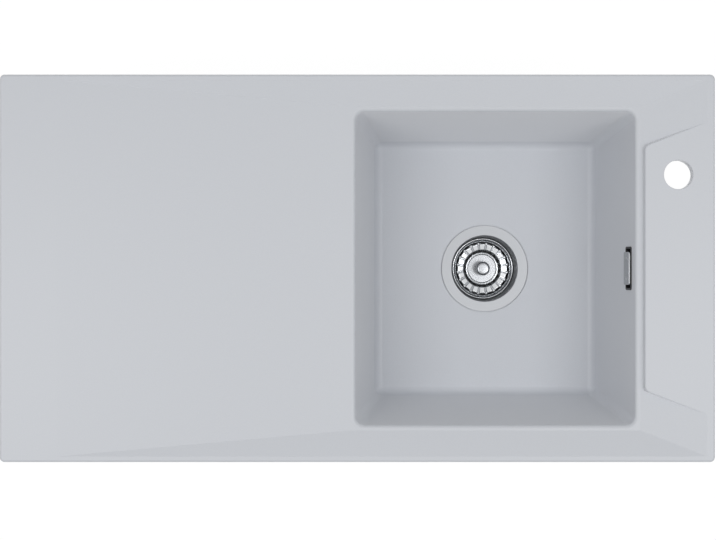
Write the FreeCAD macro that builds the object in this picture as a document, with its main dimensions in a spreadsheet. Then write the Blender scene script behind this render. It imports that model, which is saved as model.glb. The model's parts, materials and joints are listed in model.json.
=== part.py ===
"""Inset kitchen sink with one bowl and a drainboard, moulded in a stone and resin composite.

Frame: +X along the sink to the tap side, +Y to the back, +Z up, millimetres. The origin is the
middle of the outline on the worktop plane, which is the underside of the rim.
Depths in the waste kit are counted from the low ring of the bowl's floor, around the drain.
"""

import FreeCAD
import Part
import math
import os
import re

import Sketcher
from FreeCAD import Placement, Rotation, Vector

SIZES = {
    # moulding: outline, rim and sloping faces
    "sink_length": (860, "outline along X"),
    "sink_width": (466, "outline along Y"),
    "corner_radius": (6, "outline's corners in plan"),
    "rim_height": (9, "rim's top above the worktop"),
    "edge_radius": (3, "rim's rounded outer edge"),
    "deck_thickness": (9, "moulding under the sloping faces"),
    "rim_strip": (7, "level strip at the front and back"),
    "rim_strip_right": (10, "level strip at the right"),
    "level_left": (70, "level end of the drainboard, from the left edge"),
    "overlap": (12, "rim that lies on the worktop"),
    # bowl
    "bowl_length": (338, "opening along X"),
    "bowl_width": (379, "opening along Y"),
    "bowl_right": (94.5, "opening to the outline's right edge"),
    "bowl_depth": (190, "rim's top to the floor"),
    "bowl_corner": (11, "opening's corners in plan"),
    "bowl_draft": (8, "degrees that the walls lean out"),
    "bowl_wall": (9, "wall thickness, square to the wall"),
    "bowl_lip": (6, "level lip around the opening"),
    "bowl_edge_radius": (5, "rounding where the lip turns into the bowl"),
    "bowl_floor_radius": (12, "rounding between wall and floor"),
    "floor_thickness": (12, "bowl floor"),
    "floor_fall": (2, "fall of the floor to the drain"),
    # raised tap platform
    "platform_inset": (10.3, "bowl opening to the platform"),
    "platform_half": (147, "middle of the sink to the platform's corner"),
    "platform_corner": (8, "platform's corners in plan"),
    "platform_draft": (9, "degrees that its step leans"),
    "platform_brow": (1.5, "rounding of its upper edge"),
    "platform_root": (0.15, "its foot above the worktop plane"),
    "tap_radius": (17.5, "tap hole"),
    "tap_right": (44.2, "tap hole to the right edge"),
    "tap_back": (120.4, "tap hole to the back edge"),
    "tap_pad_radius": (30, "flat pad under the tap hole"),
    "tap_pad_depth": (8, "pad's face below the worktop plane"),
    # rim seal
    "seal_width": (6, "foam strip"),
    "seal_height": (1.5, "foam strip, pressed"),
    "seal_play": (0.1, "groove to strip, each side"),
    "seal_inset": (5, "outline to the strip's groove"),
    # fixing clips
    "clip_inset": (24, "outline to a clip's stud"),
    "clip_end": (100, "first and last clip to the sink's end"),
    "clip_gap": (57.5, "clips left of the bowl to its opening"),
    "clip_tap": (36, "clips right of the bowl to its opening"),
    "clip_side": (80, "right clip in front of the middle"),
    "boss_radius": (9, "clip boss"),
    "boss_depth": (16, "boss's face below the worktop plane"),
    "plug_radius": (4.5, "threaded plug in a boss"),
    "plug_depth": (12, "plug in its hole"),
    "plug_spare": (0.4, "hole beyond the plug, and plug beyond the stud"),
    "plug_collar": (7, "plug's collar, radius"),
    "plug_rim": (1.5, "plug's collar, height"),
    "stud_radius": (3, "stud"),
    "stud_length": (50, "stud below the boss"),
    "stud_foot": (2, "stop at the stud's foot, height"),
    "stud_stop": (5, "stop at the stud's foot, radius"),
    "running_play": (0.06, "radial play on the studs and the stem"),
    "stack_play": (0.1, "play between claw, washer and nut"),
    "claw_sheet": (2, "claw's steel"),
    "claw_width": (16, "claw"),
    "claw_reach": (25, "stud to the claw's tip"),
    "claw_heel": (8, "stud to the claw's heel"),
    "claw_tooth": (7, "upturned tip above the claw's sheet"),
    "washer_radius": (7.5, "washer"),
    "washer_height": (1.5, "washer"),
    "nut_flats": (10, "hexagon nut across its flats"),
    "nut_height": (5, "hexagon nut"),
    "claw_bend": (1.5, "claw's outer bend"),
    # drain: seat, flange and cup
    "drain_radius": (45, "hole in the bowl's floor"),
    "flange_reach": (11, "strainer flange beyond the drain hole"),
    "flange_sheet": (1.2, "flange and cup steel"),
    "flange_play": (1.2, "seat around the flange, radial"),
    "seat_depth": (2.2, "flange seat below the floor"),
    "gasket_height": (0.8, "gasket under the flange"),
    "cup_play": (0.8, "drain hole to the cup, radial"),
    "cup_bend": (1, "bends of flange and cup"),
    "cup_taper": (1.8, "cup's wall narrows to the shoulder"),
    "cup_low": (20, "basket's seat to the cup's shoulder, height"),
    "cup_draw": (4, "cup narrows at the shoulder"),
    "cup_neck": (8, "height of the shoulder"),
    "cup_seat": (60, "depth of the basket's seat"),
    "cup_slope": (1.2, "cup narrows from the shoulder's foot to the seat"),
    "cup_ledge": (10, "basket's seat, breadth"),
    "well_depth": (14, "well below the seat"),
    "well_window": (5.5, "outlet window, radius"),
    "well_windows": (6, "outlet windows, count"),
    "well_land": (4, "outlet windows to the well's wall"),
    # basket
    "basket_gap": (1, "cup's wall to the basket's rim"),
    "rim_rise": (8.3, "basket's rim above the petals' crown"),
    "basket_roll": (1.8, "rolled rim, width"),
    "basket_sheet": (0.8, "basket's steel"),
    "basket_step": (1.6, "rim's rolled edge to the basket's wall"),
    "crown_rise": (9.5, "petals' crown above the basket's middle"),
    "slot_land": (1, "basket's wall to the outer slots"),
    "petal_length": (9.5, "petals, radial"),
    "petal_rise": (1.4, "petals above the dish"),
    "petal_width": (6.2, "petals, across"),
    "petal_fall": (2.6, "petals lower at their inner end"),
    "petals": (20, "petals, count"),
    "hub_land": (0.7, "inner slots to the bead"),
    "hub_bead": (0.9, "bead around the flat middle, width and height"),
    "hub_rise": (7, "basket's middle above the seat"),
    "slot_breadth": (2.5, "strainer slots, radial"),
    "slot_web": (2.2, "steel between strainer slots"),
    "lip_gap": (0.3, "rubber lip above its seat, basket let down"),
    "rubber_reach": (5.5, "rubber disc beyond the well"),
    "rubber_lip": (3.5, "rubber lip, width"),
    "rubber_height": (3, "rubber disc"),
    "stem_radius": (3, "basket's stem"),
    "stem_spare": (2.2, "stem's foot above its bore's floor"),
    "stem_washer": (6.5, "washer that holds the rubber disc, radius"),
    "stem_collar": (1.2, "that washer's height"),
    "stem_top": (15, "stem above the basket's middle, in the knob"),
    "knob_radius": (9.2, "knob"),
    "knob_waist": (5.4, "knob's waist, radius"),
    "knob_height": (26.5, "knob above the basket's middle"),
    "knob_cap": (13, "knob's grip, height"),
    "knob_round": (1.6, "knob's bevels"),
    # clamping screw and waste body
    "screw_head": (8, "clamping screw's head, radius"),
    "screw_head_height": (11.5, "clamping screw's head"),
    "screw_radius": (4, "clamping screw's shank"),
    "screw_length": (24, "clamping screw's shank"),
    "screw_slot": (2, "driver slot, width and depth"),
    "screw_blind": (2, "head's floor under the stem's bore"),
    "thread_play": (0.05, "radial play of threads and inserts"),
    "insert_radius": (6.5, "brass insert"),
    "insert_height": (14, "brass insert"),
    "insert_drop": (4, "cup's foot to the brass insert"),
    "under_gasket": (3, "gasket under the bowl"),
    "gasket_edge": (1, "gaskets stand back from edges"),
    "body_flange": (5, "waste body's flange"),
    "body_play": (2.4, "cup to waste body, radial"),
    "body_wall": (3, "waste body's wall"),
    "body_drum": (40, "waste body's drum, height"),
    "body_cone": (20, "waste body's upper cone, height"),
    "body_room": (8, "well to the waste body's throat, radial"),
    "body_hub": (10, "hub for the brass insert, radius"),
    "body_arm": (4, "hub's arms, thickness"),
    "body_arm_height": (10, "hub's arms, height"),
    "body_lip": (2, "hub's lip under the insert"),
    "body_arms": (3, "hub's arms, count"),
    "outlet_radius": (23.9, "outlet thread, G 1 1/2"),
    "outlet_length": (27, "outlet"),
    "outlet_cone": (11, "lower cone, height"),
    "port_drop": (36, "depth of the overflow port"),
    "port_length": (74, "drain axis to the port's end"),
    # overflow
    "slot_width": (51, "overflow hole along Y"),
    "slot_height": (22, "overflow hole up the wall"),
    "slot_drop": (27.5, "overflow hole below the bowl's edge"),
    "slot_corner": (3, "overflow hole's corners"),
    "frame_lip": (1, "frame's lip around the hole"),
    "frame_proud": (0.8, "frame's lip off the wall"),
    "frame_play": (0.2, "frame in the hole"),
    "frame_wall": (1.3, "frame's wall"),
    "frame_depth": (5, "frame in the wall"),
    "bridge_width": (7.5, "frame's screw bridges"),
    "cover_width": (40, "cover plate along Y"),
    "cover_height": (21.7, "cover plate up the wall"),
    "cover_sheet": (1.6, "cover plate's steel"),
    "cover_stand": (1.7, "cover plate off the wall"),
    "cover_corner": (2, "cover plate's corners"),
    "cover_screws": (24, "screws apart"),
    "cover_screw_radius": (1.9, "screws"),
    "cover_screw_head": (3.6, "screws' heads, radius"),
    "cover_screw_length": (19, "screws"),
    "tower_radius": (3.7, "housing's screw towers"),
    "tower_gap": (0.2, "towers to the frame's bridges"),
    "tower_hole": (12, "screw holes in the towers, depth"),
    "housing_seal": (2, "seal behind the wall"),
    "housing_edge": (5.5, "housing's flange around the hole"),
    "housing_flange": (3, "housing's flange"),
    "housing_wall": (2.5, "housing's wall"),
    "housing_depth": (27, "housing behind its flange"),
    "housing_neck": (24, "outlet below the housing"),
    "port_radius": (11.5, "hose ports, outside"),
    "port_bore": (8.5, "hose ports, inside"),
    "port_axis": (16, "outlet's axis behind the flange's back"),
    # hose and its nuts
    "hose_seal": (2, "ring between port and hose"),
    "hose_radius": (12.5, "ribs, outside"),
    "hose_root": (10.4, "between the ribs, and the cuffs"),
    "hose_bore": (8.7, "bore"),
    "hose_collar": (1.2, "collar under the nut"),
    "hose_cuff": (14, "plain ends"),
    "hose_pitch": (3.6, "ribs apart, about"),
    "hose_bend": (60, "bend's radius"),
    "hose_nut_radius": (16.5, "union nut"),
    "hose_nut_length": (20, "union nut"),
    "hose_nut_neck": (6, "nut's neck on the hose"),
    "hose_nut_play": (0.15, "nut to port and hose, radial"),
    "grip_notches": (12, "nut's grip notches, count"),
    "grip_radius": (2.2, "nut's grip notches"),
    # cutting tools
    "over": (1, "cuts reach past what they cut"),
}

# Heights and places that several pieces share, as terms of the sheet
FLOOR = "(rim_height - bowl_depth)"
LOW_RING = "(rim_height - bowl_depth - floor_fall)"
SLOPE = "tan(bowl_draft)"
WALL_ACROSS = "(bowl_wall / cos(bowl_draft))"
BOWL_X = "(sink_length / 2 - bowl_right - bowl_length / 2)"
BOWL_LEFT = "(sink_length / 2 - bowl_right - bowl_length)"
BOWL_EDGE_X = "(sink_length / 2 - bowl_right)"
LIP_LEFT = f"({BOWL_LEFT} - bowl_lip)"
LIP_RIGHT = f"({BOWL_EDGE_X} + bowl_lip)"
RUN_RIGHT = "(bowl_right - bowl_lip - rim_strip_right)"
RUN_FRONT = "((sink_width - bowl_width) / 2 - bowl_lip - rim_strip)"
CLIP_Y = "(sink_width / 2 - clip_inset)"
TAP_X = "(sink_length / 2 - tap_right)"
TAP_Y = "(sink_width / 2 - tap_back)"
OVERFLOW_X = f"({BOWL_EDGE_X} - slot_drop * {SLOPE} + bowl_wall * cos(bowl_draft))"
OVERFLOW_Z = "(-slot_drop - bowl_wall * sin(bowl_draft))"

# Depths in the waste kit, from the floor's low ring
LIP_TOP = "(gasket_height + flange_sheet - seat_depth)"
FLANGE = "(drain_radius + flange_reach)"
CUP = "(drain_radius - cup_play - flange_sheet)"
CUP_SHOULDER = "(cup_low - cup_seat)"
CUP_FOOT = f"({CUP} - cup_taper - cup_draw - cup_slope)"
WELL = f"({CUP_FOOT} - cup_ledge)"
WELL_FLOOR = "(-cup_seat - well_depth)"
BASKET_EDGE = f"({CUP} - cup_taper - basket_gap)"
BASKET_WALL = f"({BASKET_EDGE} - basket_roll - basket_step)"
PETAL_OUTER = f"({BASKET_WALL} - slot_land - slot_breadth)"
PETAL_INNER = f"({PETAL_OUTER} - petal_length)"
HUB_RADIUS = f"({PETAL_INNER} - slot_breadth - hub_land - 2 * hub_bead)"
HUB_TOP = "(hub_rise - cup_seat)"
HUB_UNDER = f"({HUB_TOP} - basket_sheet)"
CROWN = f"({HUB_TOP} + crown_rise)"
BASKET_RIM = f"({CROWN} + rim_rise)"
HEAD_TOP = f"({WELL_FLOOR} + screw_head_height)"
UNDER_FLOOR = "(floor_fall - floor_thickness)"
BODY_TOP = f"({UNDER_FLOOR} - under_gasket)"
BODY_IN = "(drain_radius - cup_play + body_play)"
BODY_THROAT = f"({WELL} + body_room)"
INSERT_TOP = f"({WELL_FLOOR} - flange_sheet - insert_drop)"
INSERT_FOOT = f"({INSERT_TOP} - insert_height)"

# Places in the overflow's own frame: X out from the bowl's outer wall, Z up along it
PORT_X = "(housing_seal + housing_flange + port_axis)"
PORT_FOOT = "(-slot_height / 2 - housing_edge - housing_neck)"
COVER_BACK = "(-bowl_wall - cover_stand)"

# Heights in a clip's own frame: the stud's axis is Z, and 0 is the underside of the plug's collar
CLIP_Z = "(-boss_depth - plug_rim)"
WASHER_TOP = "(-stack_play - claw_sheet - stack_play)"
NUT_TOP = f"({WASHER_TOP} - washer_height - stack_play)"

# Clips: name, stud's X, stud's Y, and the way that the stowed claw points, in degrees
CLIP_END_X = "(sink_length / 2 - clip_end)"
CLIP_MIDDLE_X = f"({BOWL_LEFT} - clip_gap)"
CLIP_TAP_X = f"({BOWL_EDGE_X} + clip_tap)"
CLIP_SIDE_X = "(sink_length / 2 - clip_inset)"
CLIPS = (
    ("clip_front_left", f"-{CLIP_END_X}", f"-{CLIP_Y}", 0),
    ("clip_front_middle", CLIP_MIDDLE_X, f"-{CLIP_Y}", 0),
    ("clip_front_right", CLIP_TAP_X, f"-{CLIP_Y}", 0),
    ("clip_back_left", f"-{CLIP_END_X}", CLIP_Y, 0),
    ("clip_back_middle", CLIP_MIDDLE_X, CLIP_Y, 0),
    ("clip_back_right", CLIP_TAP_X, CLIP_Y, 0),
    ("clip_left", f"-{CLIP_SIDE_X}", "0", 90),
    ("clip_right", CLIP_SIDE_X, "-clip_side", -90),
)

TINY = 1e-4  # how far two lengths may differ and still count as equal

doc = FreeCAD.newDocument("kitchen_sink")
sheet = doc.addObject("Spreadsheet::Sheet", "Sizes")
pieces = []


# The sheet, and terms of it

def fill_sheet():
    """One row for each size: its name, its value with the alias, and what it measures."""
    for row, (name, (number, meaning)) in enumerate(SIZES.items(), start=1):
        sheet.set(f"A{row}", name)
        sheet.set(f"B{row}", str(number))
        sheet.setAlias(f"B{row}", name)
        sheet.set(f"C{row}", meaning)
    doc.recompute()


def sheet_terms(expression):
    """The expression with each size's name written as the sheet's own."""
    return re.sub(r"[a-z]\w*", lambda m: f"Sizes.{m[0]}" if m[0] in SIZES else m[0], str(expression))


def value(expression):
    """The number that an expression gives."""
    return float(sheet.evalExpression(sheet_terms(expression)))


def bind(thing, path, expression):
    """Tie a property of thing to an expression of the sheet."""
    thing.setExpression(path, sheet_terms(expression))


# Sketches

def origin_part(body, role):
    """The plane or axis of a body's own origin that has this role."""
    return next(f for f in body.Origin.OriginFeatures if f.Role == role)


def new_sketch(body, role, height="0", across="0"):
    """A sketch on one of the body's origin planes, raised by height, and moved along its X by across."""
    sketch = body.newObject("Sketcher::SketchObject", "Sketch")
    sketch.AttachmentSupport = [(origin_part(body, role), "")]
    sketch.MapMode = "FlatFace"
    bind(sketch, "AttachmentOffset.Base.z", height)
    bind(sketch, "AttachmentOffset.Base.x", across)
    return sketch


def constrain(sketch, kind, *geometry, to=None):
    """Add a constraint, tied to an expression where one is given."""
    if to is None:
        return sketch.addConstraint(Sketcher.Constraint(kind, *geometry))
    index = sketch.addConstraint(Sketcher.Constraint(kind, *geometry, value(to)))
    bind(sketch, f"Constraints[{index}]", to)
    return index


def fix_point(sketch, curve, end, x, y):
    """Hold a point of a curve at (x, y), or on an axis where a coordinate is 0."""
    for kind, place, axis in (("DistanceX", x, -2), ("DistanceY", y, -1)):
        if place == "0":
            constrain(sketch, "PointOnObject", curve, end, axis)
        else:
            constrain(sketch, kind, -1, 1, curve, end, to=place)


def draw_polygon(sketch, corners):
    """A closed outline of straight lines through corners, each an (x, y) of expressions."""
    points = [Vector(value(x), value(y), 0) for x, y in corners]
    first = sketch.GeometryCount
    count = len(points)
    for i in range(count):
        sketch.addGeometry(Part.LineSegment(points[i], points[(i + 1) % count]), False)
    for i, (x, y) in enumerate(corners):
        constrain(sketch, "Coincident", first + i, 2, first + (i + 1) % count, 1)
        fix_point(sketch, first + i, 1, x, y)


def draw_box(sketch, left, right, low, high):
    """A rectangle with sharp corners."""
    draw_polygon(sketch, ((left, low), (right, low), (right, high), (left, high)))


def draw_circle(sketch, radius, x="0", y="0"):
    """A circle about (x, y)."""
    circle = Part.Circle(Vector(value(x), value(y), 0), Vector(0, 0, 1), value(radius))
    index = sketch.addGeometry(circle, False)
    fix_point(sketch, index, 3, x, y)
    constrain(sketch, "Radius", index, to=radius)


def draw_rounded(sketch, half_x, half_y, radius):
    """A rectangle about the sketch's origin whose corners are arcs of radius."""
    x, y, r = value(half_x), value(half_y), value(radius)
    first = sketch.GeometryCount
    lines = (
        ((r - x, -y), (x - r, -y)),
        ((x, r - y), (x, y - r)),
        ((x - r, y), (r - x, y)),
        ((-x, y - r), (-x, r - y)),
    )
    for start, end in lines:
        sketch.addGeometry(Part.LineSegment(Vector(*start, 0), Vector(*end, 0)), False)
    centres = ((x - r, r - y), (x - r, y - r), (r - x, y - r), (r - x, r - y))
    for i, centre in enumerate(centres):
        circle = Part.Circle(Vector(*centre, 0), Vector(0, 0, 1), r)
        turn = (i - 1) * math.pi / 2
        sketch.addGeometry(Part.ArcOfCircle(circle, turn, turn + math.pi / 2), False)
    for i in range(4):
        line, arc, following = first + i, first + 4 + i, first + (i + 1) % 4
        constrain(sketch, "Tangent", line, 2, arc, 1)
        constrain(sketch, "Tangent", arc, 2, following, 1)
        constrain(sketch, "Radius", arc, to=radius)
    for line in (first, first + 2):
        constrain(sketch, "Horizontal", line)
    for line in (first + 1, first + 3):
        constrain(sketch, "Vertical", line)
    constrain(sketch, "DistanceY", -1, 1, first, 1, to=f"-({half_y})")
    constrain(sketch, "DistanceX", -1, 1, first + 1, 1, to=half_x)
    constrain(sketch, "DistanceY", -1, 1, first + 2, 1, to=half_y)
    constrain(sketch, "DistanceX", -1, 1, first + 3, 1, to=f"-({half_x})")


# Features

def new_body(label):
    """An empty body that is one sub-part, named by its label."""
    body = doc.addObject("PartDesign::Body", "Body")
    body.Label = label
    pieces.append(body)
    return body


def extrude(body, kind, sketch, length, up=True, middle=False):
    """A Pad or Pocket of a sketch, along its normal if up, or to both sides of it if middle."""
    feature = body.newObject(f"PartDesign::{kind}", kind)
    feature.Profile = sketch
    bind(feature, "Length", length)
    feature.Reversed = up == (kind == "Pocket")
    feature.Midplane = middle
    doc.recompute()
    return feature


def spin(body, kind, sketch):
    """A Revolution or Groove of a sketch, all the way round its own vertical axis."""
    feature = body.newObject(f"PartDesign::{kind}", kind)
    feature.Profile = sketch
    feature.ReferenceAxis = (sketch, ["V_Axis"])
    feature.Angle = 360
    doc.recompute()
    return feature


def add_wedge(body, kind, low, low_box, high, high_box):
    """A frustum between two heights. A box is its left, right and half depth at that height."""
    feature = body.newObject(f"PartDesign::{kind}", kind)
    feature.AttachmentSupport = [(origin_part(body, "XZ_Plane"), "")]
    feature.MapMode = "FlatFace"
    terms = {"Ymin": low, "Ymax": high}
    for mark, (left, right, half) in (("", low_box), ("2", high_box)):
        terms.update({f"X{mark}min": left, f"X{mark}max": right})
        terms.update({f"Z{mark}min": f"-({half})", f"Z{mark}max": half})
    for name, term in terms.items():
        bind(feature, name, term)
    doc.recompute()
    return feature


def add_cone(body, kind, wide, narrow, height, x, y):
    """A cone along +X of the body that starts with radius wide at (x, y, 0)."""
    feature = body.newObject(f"PartDesign::{kind}", kind)
    feature.AttachmentSupport = [(origin_part(body, "YZ_Plane"), "")]
    feature.MapMode = "FlatFace"
    terms = {"Radius1": wide, "Radius2": narrow, "Height": height}
    terms.update({"AttachmentOffset.Base.x": y, "AttachmentOffset.Base.z": x})
    for name, term in terms.items():
        bind(feature, name, term)
    doc.recompute()
    return feature


def repeat(body, features, count):
    """Copies of features, evenly round the body's Z axis."""
    pattern = body.newObject("PartDesign::PolarPattern", "PolarPattern")
    pattern.Originals = features
    pattern.Axis = (origin_part(body, "Z_Axis"), [""])
    pattern.Angle = 360
    bind(pattern, "Occurrences", count)
    body.Tip = pattern
    doc.recompute()
    return pattern


def round_edges(body, base, radius, wanted):
    """A Fillet on each edge of base for which wanted(edge's box, edge's middle) is true."""
    names = []
    for i, edge in enumerate(base.Shape.Edges, start=1):
        middle = edge.valueAt((edge.FirstParameter + edge.LastParameter) / 2)
        if wanted(edge.BoundBox, middle):
            names.append(f"Edge{i}")
    fillet = body.newObject("PartDesign::Fillet", "Fillet")
    fillet.Base = (base, names)
    bind(fillet, "Radius", radius)
    doc.recompute()
    return fillet


def lies_level(box, height):
    """Does an edge with this box lie wholly at one height?"""
    return abs(box.ZMin - height) < TINY and abs(box.ZMax - height) < TINY


def turned(label, profile):
    """A body turned about Z from a profile of (radius, height) corners."""
    body = new_body(label)
    sketch = new_sketch(body, "XZ_Plane")
    draw_polygon(sketch, profile)
    spin(body, "Revolution", sketch)
    return body


def turned_ring(label, inner, outer, low, high):
    """A plain ring about Z."""
    return turned(label, ((inner, low), (outer, low), (outer, high), (inner, high)))


def pressed_profile(upper, gauge):
    """The outline of pressed sheet of one gauge, whose upper side runs from the rim to the middle."""
    under = [(f"{r} + {gauge}", f"{z} - {gauge}") for r, z in upper[1:-1]]
    rim, middle = [(r, f"{z} - {gauge}") for r, z in (upper[0], upper[-1])]
    return [*upper, middle, *reversed(under), rim]


def copies(label, body, places):
    """One node of several like pieces: the body's shape at each place. The body is no piece itself."""
    pieces.remove(body)
    group = doc.addObject("Part::Feature", "Group")
    group.Label = label
    solid = body.Shape.copy()
    solid.Placement = Placement()
    shapes = []
    for place in places:
        shape = solid.copy()
        shape.Placement = place
        shapes.append(shape)
    group.Shape = Part.Compound(shapes)
    group.Placement = Placement()
    pieces.append(group)
    return group


def set_at(body, x, y, z, axis=Vector(0, 0, 1), angle="0"):
    """Move a piece to (x, y, z), turned about axis by angle."""
    for name, place in zip("xyz", (x, y, z)):
        bind(body, f"Placement.Base.{name}", place)
        bind(body, f"Placement.Rotation.Axis.{name}", getattr(axis, name))
    bind(body, "Placement.Rotation.Angle", angle)


def set_at_drain(body):
    """Stand a piece of the waste kit on the drain's axis."""
    set_at(body, BOWL_X, "0", LOW_RING)


def set_at_overflow(body, x="0", z="0"):
    """Lean a piece of the overflow with the bowl's wall, (x, z) out from it and up along it."""
    place_x = f"{OVERFLOW_X} + ({x}) * cos(bowl_draft) + ({z}) * sin(bowl_draft)"
    place_z = f"{OVERFLOW_Z} - ({x}) * sin(bowl_draft) + ({z}) * cos(bowl_draft)"
    set_at(body, place_x, "0", place_z, Vector(0, 1, 0), "bowl_draft")


# The moulding

def facet_box(height):
    """The sloping faces' outline at a height: inside the rim's strips at the top, the lip's at 0."""
    rise = f"(({height}) / rim_height)"
    left = f"{LIP_LEFT} - ({LIP_LEFT} + sink_length / 2 - level_left) * {rise}"
    right = f"{LIP_RIGHT} + {RUN_RIGHT} * {rise}"
    half = f"bowl_width / 2 + bowl_lip + {RUN_FRONT} * {rise}"
    return left, right, half


def bowl_box(height, outward="0"):
    """The bowl's plan at a height, moved outward from its inner face."""
    spread = f"({outward} + ({height}) * {SLOPE})"
    return f"{BOWL_LEFT} - {spread}", f"{BOWL_EDGE_X} + {spread}", f"bowl_width / 2 + {spread}"


def draw_inset(sketch, inset):
    """The sink's outline, moved in by inset."""
    draw_rounded(sketch, f"sink_length / 2 - ({inset})", f"sink_width / 2 - ({inset})", "corner_radius")


def make_deck(body):
    """The rim's slab, and the deck that hangs from it into the worktop's cutout."""
    outline = new_sketch(body, "XY_Plane")
    draw_inset(outline, "0")
    slab = extrude(body, "Pad", outline, "rim_height")
    top = value("rim_height")
    round_edges(body, slab, "edge_radius", lambda box, middle: lies_level(box, top))
    hang = "(overlap + over)"
    cutout = (f"{hang} - sink_length / 2", f"sink_length / 2 - {hang}", f"sink_width / 2 - {hang}")
    add_wedge(body, "AdditiveWedge", "-deck_thickness", bowl_box("0", "bowl_wall"), "0", cutout)


def make_bowl(body):
    """The bowl: its shell, then its inside, both with leaning walls and round corners."""
    under = f"({FLOOR} - floor_thickness)"
    low, floor = value(under), value(FLOOR)
    shell = add_wedge(
        body, "AdditiveWedge", under, bowl_box(under, WALL_ACROSS), "0", bowl_box("0", WALL_ACROSS)
    )
    tall = -0.5 * low
    corners = round_edges(
        body, shell, "bowl_corner + bowl_wall", lambda box, middle: box.ZLength > tall
    )
    round_edges(body, corners, "bowl_floor_radius", lambda box, middle: lies_level(box, low))

    hollow = add_wedge(
        body, "SubtractiveWedge", FLOOR, bowl_box(FLOOR), "rim_height", bowl_box("rim_height")
    )
    corners = round_edges(
        body, hollow, "bowl_corner", lambda box, middle: box.ZLength > tall and box.ZMax > 0
    )
    round_edges(body, corners, "bowl_floor_radius", lambda box, middle: lies_level(box, floor))


def make_facets(body):
    """The sloping faces from the rim down to the level lip, and the lip's rounding into the bowl."""
    facets = add_wedge(
        body, "SubtractiveWedge", "0", facet_box("0"), "rim_height", facet_box("rim_height")
    )
    half_x, half_y, centre_x = value("bowl_length / 2"), value("bowl_width / 2"), value(BOWL_X)

    def is_brim(box, middle):
        inside = abs(middle.x - centre_x) < half_x + TINY and abs(middle.y) < half_y + TINY
        return inside and lies_level(box, 0)

    round_edges(body, facets, "bowl_edge_radius", is_brim)


def make_platform(sink):
    """The level platform for the tap, whose ends run beside the creases of the sloping faces."""
    left = f"({BOWL_EDGE_X} + platform_inset)"
    right = "(sink_length / 2 - rim_strip_right + over)"
    far = f"(platform_half + ({right} - {left}) * {RUN_FRONT} / {RUN_RIGHT})"
    block = doc.addObject("PartDesign::Body", "Platform")
    sketch = new_sketch(block, "XY_Plane", "platform_root")
    draw_polygon(
        sketch,
        ((left, "-platform_half"), (right, f"-{far}"), (right, far), (left, "platform_half")),
    )
    pad = extrude(block, "Pad", sketch, "rim_height - platform_root")
    left_x, right_x, top = value(left), value(right), value("rim_height")
    sides, level = [], []
    for i, face in enumerate(pad.Shape.Faces, start=1):
        if lies_level(face.BoundBox, top):
            level.append(f"Face{i}")
        elif face.BoundBox.ZLength > top / 2 and face.CenterOfMass.x < right_x - TINY:
            sides.append(f"Face{i}")
    draft = block.newObject("PartDesign::Draft", "Draft")
    draft.Base = (pad, sides)
    draft.NeutralPlane = (pad, level)
    bind(draft, "Angle", "platform_draft")
    doc.recompute()
    reach = 0.5 * (left_x + right_x)
    corners = round_edges(
        block,
        draft,
        "platform_corner",
        lambda box, middle: box.ZLength > top / 2 and middle.x < reach,
    )
    round_edges(
        block,
        corners,
        "platform_brow",
        lambda box, middle: lies_level(box, top) and middle.x < right_x - TINY,
    )
    union = sink.newObject("PartDesign::Boolean", "Union")
    union.Type = "Fuse"
    union.Group = [block]
    doc.recompute()


def make_drain(body):
    """The floor's fall to the drain, the seat for the flange and the drain hole."""
    sketch = new_sketch(body, "XZ_Plane", "0", BOWL_X)
    reach = f"(bowl_length / 2 + {FLOOR} * {SLOPE} - bowl_floor_radius - over)"
    seat = f"({FLANGE} + flange_play)"
    below = f"({FLOOR} - floor_thickness - over)"
    draw_polygon(
        sketch,
        (
            ("0", f"{FLOOR} + over"),
            (reach, f"{FLOOR} + over / 10"),
            (seat, LOW_RING),
            (seat, f"{LOW_RING} - seat_depth"),
            ("drain_radius", f"{LOW_RING} - seat_depth"),
            ("drain_radius", below),
            ("0", below),
        ),
    )
    spin(body, "Groove", sketch)


def make_tap_hole(body):
    """The flat pad under the platform, and the hole through both."""
    pad = new_sketch(body, "XY_Plane", "-tap_pad_depth")
    draw_circle(pad, "tap_pad_radius", TAP_X, TAP_Y)
    extrude(body, "Pad", pad, "tap_pad_depth")
    hole = new_sketch(body, "XY_Plane", "rim_height + over")
    draw_circle(hole, "tap_radius", TAP_X, TAP_Y)
    extrude(body, "Pocket", hole, "rim_height + tap_pad_depth + 2 * over", up=False)


def make_overflow_hole(body):
    """The hole through the bowl's right wall, square to the leaning wall."""
    sketch = new_sketch(body, "YZ_Plane", f"{OVERFLOW_X} + over * cos(bowl_draft)")
    bind(sketch, "AttachmentOffset.Base.y", f"{OVERFLOW_Z} - over * sin(bowl_draft)")
    bind(sketch, "AttachmentOffset.Rotation.Axis.x", "1")
    bind(sketch, "AttachmentOffset.Rotation.Axis.z", "0")
    bind(sketch, "AttachmentOffset.Rotation.Angle", "bowl_draft")
    draw_rounded(sketch, "slot_width / 2", "slot_height / 2", "slot_corner")
    extrude(body, "Pocket", sketch, "bowl_wall + 2 * over", up=False)


def make_bosses(body):
    """A boss under the rim for each clip, with a blind hole for its plug."""
    bosses = new_sketch(body, "XY_Plane", "-boss_depth")
    holes = new_sketch(body, "XY_Plane", "-boss_depth")
    for name, x, y, turn in CLIPS:
        draw_circle(bosses, "boss_radius", x, y)
        draw_circle(holes, "plug_radius + thread_play", x, y)
    extrude(body, "Pad", bosses, "boss_depth")
    extrude(body, "Pocket", holes, "plug_depth + plug_spare")


def make_seal_groove(body):
    """The groove for the foam strip, round the underside of the rim."""
    sketch = new_sketch(body, "XY_Plane")
    draw_inset(sketch, "seal_inset")
    draw_inset(sketch, "seal_inset + seal_width + 2 * seal_play")
    extrude(body, "Pocket", sketch, "seal_height")


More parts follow.
